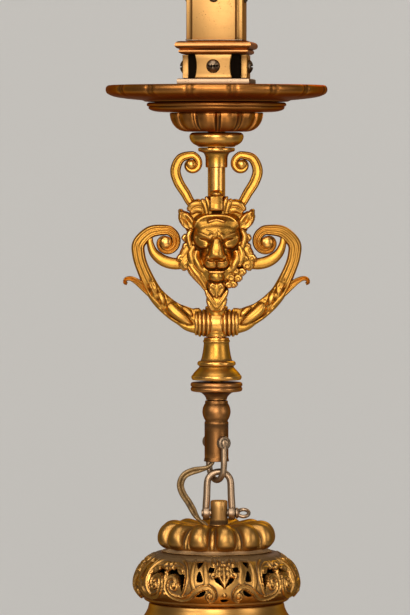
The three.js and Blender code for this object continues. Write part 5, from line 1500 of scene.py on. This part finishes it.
def build_ring(paint):
    """The lower ring with its four buds."""
    top = level("lower_ring", 1)
    outline = [[91.2, 0], [93.6, 0], [94, -0.8], [94, -5], [97.2, -5.4], [97.4, -1], [98, -0.2], [99.4, 0],
               [104.4, 0], [105.8, -0.5], [106.6, -2], [106.4, -3.8], [105.2, -4.8], [104.8, -5.6],
               [105.4, -6.4],
               [106.2, -7.6], [106.2, -9.4], [105.2, -10.8], [103, -11.6], [101, -12.6], [98, -13],
               [93.4, -13],
               [91.4, -12.4], [91, -11]]
    ring = turned("lower_ring_dressed", outline, top, 160, closed=True)
    foot = top - 13
    tip = level("lower_ring", 0) - foot
    outline = [[0.01, 0.6], [3, 0.4], [3.4, -0.8], [2.6, -1.8], [3.4, -2.6], [5.2, -4.6], [6, -7.4],
               [5.6, -10.4],
               [4.2, -13.4], [2.4, -15.4], [1.6, -16.2], [2, -17], [1.4, tip + 0.4], [0.01, tip]]

    def fluted(radius, height, angle):
        return radius * (1 + 0.05 * np.cos(6 * angle) * smoothstep(foot - 3, foot - 7, height))

    bud = placed(turned("bud", outline, foot, 32, 2, fluted), 0, -98.6)
    ring = joined("lower_ring_dressed", ring, repeated(placed(bud, turn=math.pi / 4), 4, paint.body))
    finish_piece(ring, paint.body, "lower_ring", relief=(8, 0.45))


def build_bars(paint):
    """Half-round glazing bars with beaded ends, one repeated four times."""
    names = ["glazing_bar_%d" % number for number in (1, 2, 3, 4)]
    low, high = level(names[0], 0), level(names[0], 1)
    half = rounded([[-4.5, 3], [-4.5, 0.4], [-3.4, -1.8], [-1.2, -3], [1.2, -3], [3.4, -1.8], [4.5, 0.4],
                    [4.5, 3]])
    line = [[0, -99.6, z] for z in np.linspace(low, high, 60)]

    def section(t):
        z = low + t * (high - low)
        near_end = min(z - low, high - z)
        first = math.exp(-((near_end - 14) / 2.2) ** 2)
        second = math.exp(-((near_end - 20) / 1.6) ** 2)
        return half * (1 - 0.18 * first - 0.18 * second)

    bar = placed(swept("glazing_bars", line, section, np.tile([1.0, 0, 0], (len(line), 1))), turn=math.pi / 4)
    finish_piece(repeated(bar, 4, paint.turned_gilt), paint.turned_gilt, *names, sharp=50)


def build_lamp(paint):
    """The tube that carries the lampholder, the holder and the bulb."""
    painted(paint.brass, "carrier_tube")
    deep = level("lampholder", 0) - level("lampholder", 1)
    outline = [[4.2, 0], [9, 0], [10.6, -0.4], [11.2, -1.6], [11.2, -6], [12.4, -8], [15.6, -10],
               [16.8, -11.6],
               [17, -13.4], [17, -27], [16.4, -27.6], [16.4, -28.4], [17, -29], [17, deep + 1.4],
               [16.2, deep + 0.3], [15, deep], [13.6, deep + 0.4], [13.4, deep + 2], [13.4, -16], [4.2, -14]]
    finish_turned(paint.white, "lampholder", outline, 72, closed=True)
    painted(paint.bulb, "bulb")


# Stage


CAMERA_AIM = (-0.0092, 0, -0.286)
CAMERA_DISTANCE = 3.6
MIDDLE = (0, 0, -0.3)
# name, place, width and height in metres, watts, colour
LAMPS = (
    ("Front", (-0.2, -2.6, 0.2), 1.15, 1.7, 44, (1.0, 0.93, 0.83)),
    ("Key", (-1.7, -1.9, 0.8), 0.8, 1.0, 20, (1.0, 0.94, 0.86)),
    ("Right", (2.0, -1.3, 0.1), 0.8, 1.6, 13, (1.0, 0.92, 0.82)),
    ("Back", (0.6, 1.5, 0.8), 1.0, 0.8, 8, (1.0, 0.95, 0.9)),
    ("Top", (-0.15, -0.8, 1.0), 1.1, 0.9, 9, (1.0, 0.95, 0.88)),
    ("Under", (0.2, -1.5, -1.25), 1.2, 0.7, 5, (1.0, 0.86, 0.66)),
)


def build_camera():
    """A long lens that looks at the lantern from the front and a little from above."""
    camera = linked("Camera", bpy.data.cameras.new("Camera"))
    pitch = math.radians(2)
    camera.location = Vector(CAMERA_AIM) + Vector((0, -math.cos(pitch), math.sin(pitch))) * CAMERA_DISTANCE
    camera.rotation_euler = (math.pi / 2 - pitch, 0, 0)
    camera.data.sensor_width = 36
    camera.data.lens = 263.4
    camera.data.clip_end = 50
    bpy.context.scene.camera = camera


def softbox(name, location, width, height, power, colour):
    """A soft square lamp that looks at the lantern's middle."""
    lamp = bpy.data.lights.new(name, "AREA")
    lamp.shape = "RECTANGLE"
    lamp.size = width
    lamp.size_y = height
    lamp.energy = power
    lamp.color = colour
    obj = linked(name, lamp)
    obj.location = location
    obj.rotation_euler = (Vector(MIDDLE) - Vector(location)).to_track_quat("-Z", "Y").to_euler()


def build_stage(colours):
    """Floor and wall in one sweep, a grey surround and the soft lamps."""
    outline = [(-5.5, -2.4), (1.3, -2.4)]
    outline += [(1.3 + 0.5 * math.sin(a), -1.9 - 0.5 * math.cos(a)) for a in np.linspace(0.1, math.pi / 2,
                                                                                         12)]
    outline.append((1.8, 2.2))
    points = [(x * 1000, y * 1000, z * 1000) for y, z in outline for x in (-3.5, 3.5)]
    sweep = make_mesh("stage_sweep", points, grid_faces(len(outline), 2))
    smooth(sweep.data)
    sweep.data.materials.append(pale_stage("pale_sweep", colours.floor, 0.95))
    world = bpy.data.worlds.new("Surround")
    bpy.context.scene.world = world
    world.use_nodes = True
    background = world.node_tree.nodes["Background"].inputs
    background["Color"].default_value = (0.5, 0.47, 0.43, 1)
    background["Strength"].default_value = 0.3
    for lamp in LAMPS:
        softbox(*lamp)
    bpy.context.scene.view_settings.view_transform = "Standard"


# Settings and operators


def length(label, about, value, low, high):
    return bpy.props.FloatProperty(name=label, description=about, default=value, min=low, max=high,
                                   subtype="DISTANCE", unit="LENGTH")


def colour(label, about, value):
    return bpy.props.FloatVectorProperty(name=label, description=about, default=value, subtype="COLOR",
                                         size=3,
                                         min=0, max=1)


class LanternSizes(bpy.types.PropertyGroup):
    post_side: length("Post Side", "Width of the square post", 0.045, 0.03, 0.05)
    tube_radius: length("Tube Radius", "Outside radius of the swivelling tube", 0.0096, 0.009, 0.0105)
    dish_bead: length("Dish Bead", "How far the beads stand out between the dish's panels", 0.0017, 0.0,
                      0.003)
    lobe_swell: length("Lobe Swell", "How far the dome's lobes stand out", 0.005, 0.001, 0.008)


class LanternColours(bpy.types.PropertyGroup):
    gilding: colour("Gilding", "Rubbed gilding of the castings", (0.5, 0.245, 0.042))
    bronze: colour("Bronze", "Browned bronze of the dish and bowl", (0.25, 0.1, 0.024))
    brass: colour("Brass", "Pitted brass of the post", (0.4, 0.22, 0.075))
    copper: colour("Copper", "Copper-toned bronze of the collar and the swivel", (0.32, 0.145, 0.048))
    old_metal: colour("Old Metal", "Grey-brown metal of the shackles", (0.18, 0.132, 0.09))
    dirt: colour("Dirt", "Dirt in the hollows", (0.035, 0.017, 0.008))
    edge: colour("Edge", "Tint of what the metal mirrors at a glancing angle", (0.34, 0.2, 0.1))
    floor: colour("Floor", "Pale floor and wall behind the lantern", (0.68, 0.67, 0.65))


PAINT = {}


def paints(context):
    """The materials, made when a piece first asks for them."""
    if "all" not in PAINT:
        PAINT["all"] = Finishes(context.scene.lantern_colours)
    return PAINT["all"]


class LANTERN_OT_camera(bpy.types.Operator):
    """Sets the camera that takes the photograph's view"""
    bl_idname = "lantern.camera"
    bl_label = "Camera"

    def execute(self, context):
        build_camera()
        return {"FINISHED"}


class LANTERN_OT_flex(bpy.types.Operator):
    """Builds the twin flex that runs beside the shackles"""
    bl_idname = "lantern.flex"
    bl_label = "Flex"

    def execute(self, context):
        build_flex(paints(context))
        return {"FINISHED"}


class LANTERN_OT_post(bpy.types.Operator):
    """Builds the ceiling plate, the square post and its screws"""
    bl_idname = "lantern.post"
    bl_label = "Post"

    def execute(self, context):
        paint = paints(context)
        painted(paint.brass, "ceiling_plate", "stem_nut")
        build_post(paint, context.scene.lantern_sizes)
        build_screws(paint)
        return {"FINISHED"}


class LANTERN_OT_cage(bpy.types.Operator):
    """Builds the collar, the four uprights and the plate under them"""
    bl_idname = "lantern.cage"
    bl_label = "Cage"

    def execute(self, context):
        build_collar(paints(context))
        build_cage(paints(context))
        # The core inside the cage is painted near black: painted shade in the gaps between the uprights.
        painted(paints(context).grime_and_painted_shade, "cage_core")
        return {"FINISHED"}


class LANTERN_OT_dish(bpy.types.Operator):
    """Builds the panelled dish"""
    bl_idname = "lantern.dish"
    bl_label = "Dish"

    def execute(self, context):
        build_dish(paints(context), context.scene.lantern_sizes)
        return {"FINISHED"}


class LANTERN_OT_knops(bpy.types.Operator):
    """Builds the turned pieces between the dish and the masks"""
    bl_idname = "lantern.knops"
    bl_label = "Bowl and Knops"

    def execute(self, context):
        build_bowl(paints(context))
        build_knops(paints(context))
        return {"FINISHED"}


class LANTERN_OT_scrolls(bpy.types.Operator):
    """Builds the scrolled castings beside the masks"""
    bl_idname = "lantern.scrolls"
    bl_label = "Scrolls"

    def execute(self, context):
        paint = paints(context)
        for side, name in ((-1, "left"), (1, "right")):
            build_upper_scroll(paint, side, "upper_scroll_" + name)
            build_arm(paint, side, "arm_" + name)
        return {"FINISHED"}


class LANTERN_OT_masks(bpy.types.Operator):
    """Builds the two lion masks"""
    bl_idname = "lantern.masks"
    bl_label = "Lion Masks"

    def execute(self, context):
        sculpture = sculpt_lion()
        for name, turn in (("front", 0), ("rear", math.pi)):
            build_mask(paints(context), sculpture, "mask_" + name, turn)
        return {"FINISHED"}


class LANTERN_OT_swivel(bpy.types.Operator):
    """Builds the hub, the column, the swivel and its tube"""
    bl_idname = "lantern.swivel"
    bl_label = "Hub and Swivel"

    def execute(self, context):
        paint = paints(context)
        build_hub(paint)
        build_column(paint)
        build_swivel(paint, context.scene.lantern_sizes)
        painted(paint.brass, "spindle")
        return {"FINISHED"}


class LANTERN_OT_shackles(bpy.types.Operator):
    """Builds the two shackles, their pins and the post they hold"""
    bl_idname = "lantern.shackles"
    bl_label = "Shackles"

    def execute(self, context):
        build_upper_shackle(paints(context))
        build_lower_shackle(paints(context))
        build_crown_post(paints(context))
        return {"FINISHED"}


class LANTERN_OT_dome(bpy.types.Operator):
    """Builds the lobed dome"""
    bl_idname = "lantern.dome"
    bl_label = "Dome"

    def execute(self, context):
        build_dome(paints(context), context.scene.lantern_sizes)
        return {"FINISHED"}


class LANTERN_OT_band(bpy.types.Operator):
    """Builds the pierced band and its lining"""
    bl_idname = "lantern.band"
    bl_label = "Pierced Band"

    def execute(self, context):
        build_band(paints(context))
        return {"FINISHED"}


class LANTERN_OT_body(bpy.types.Operator):
    """Builds the roof, the glass, the lower ring and the bars"""
    bl_idname = "lantern.body"
    bl_label = "Roof and Glass"

    def execute(self, context):
        paint = paints(context)
        build_roof(paint)
        build_glass(paint)
        build_ring(paint)
        build_bars(paint)
        return {"FINISHED"}


class LANTERN_OT_lamp(bpy.types.Operator):
    """Builds the lampholder and the bulb"""
    bl_idname = "lantern.lamp"
    bl_label = "Lamp"

    def execute(self, context):
        build_lamp(paints(context))
        return {"FINISHED"}


class LANTERN_OT_stage(bpy.types.Operator):
    """Builds the pale floor and wall and the lamps"""
    bl_idname = "lantern.stage"
    bl_label = "Stage"

    def execute(self, context):
        build_stage(context.scene.lantern_colours)
        return {"FINISHED"}


STEPS = (LANTERN_OT_camera, LANTERN_OT_flex, LANTERN_OT_post, LANTERN_OT_cage, LANTERN_OT_dish,
         LANTERN_OT_knops,
         LANTERN_OT_scrolls, LANTERN_OT_masks, LANTERN_OT_swivel, LANTERN_OT_shackles, LANTERN_OT_dome,
         LANTERN_OT_band, LANTERN_OT_body, LANTERN_OT_lamp, LANTERN_OT_stage)


class LANTERN_PT_panel(bpy.types.Panel):
    """Lists the lantern's settings and steps"""
    bl_idname = "LANTERN_PT_panel"
    bl_label = "Bronze Lantern"
    bl_space_type = "VIEW_3D"
    bl_region_type = "UI"
    bl_category = "Lantern"

    def draw(self, context):
        for settings in (context.scene.lantern_sizes, context.scene.lantern_colours):
            for name in settings.bl_rna.properties.keys():
                if name not in ("rna_type", "name"):
                    self.layout.prop(settings, name)
        for step in STEPS:
            self.layout.operator(step.bl_idname)


CLASSES = (LanternSizes, LanternColours, *STEPS, LANTERN_PT_panel)


def register():
    for cls in CLASSES:
        bpy.utils.register_class(cls)
    bpy.types.Scene.lantern_sizes = bpy.props.PointerProperty(type=LanternSizes)
    bpy.types.Scene.lantern_colours = bpy.props.PointerProperty(type=LanternColours)


def unregister():
    del bpy.types.Scene.lantern_colours
    del bpy.types.Scene.lantern_sizes
    for cls in reversed(CLASSES):
        bpy.utils.unregister_class(cls)


def main():
    register()
    for step in STEPS:
        group, name = step.bl_idname.split(".")
        getattr(getattr(bpy.ops, group), name)()


if __name__ == "__main__":
    main()
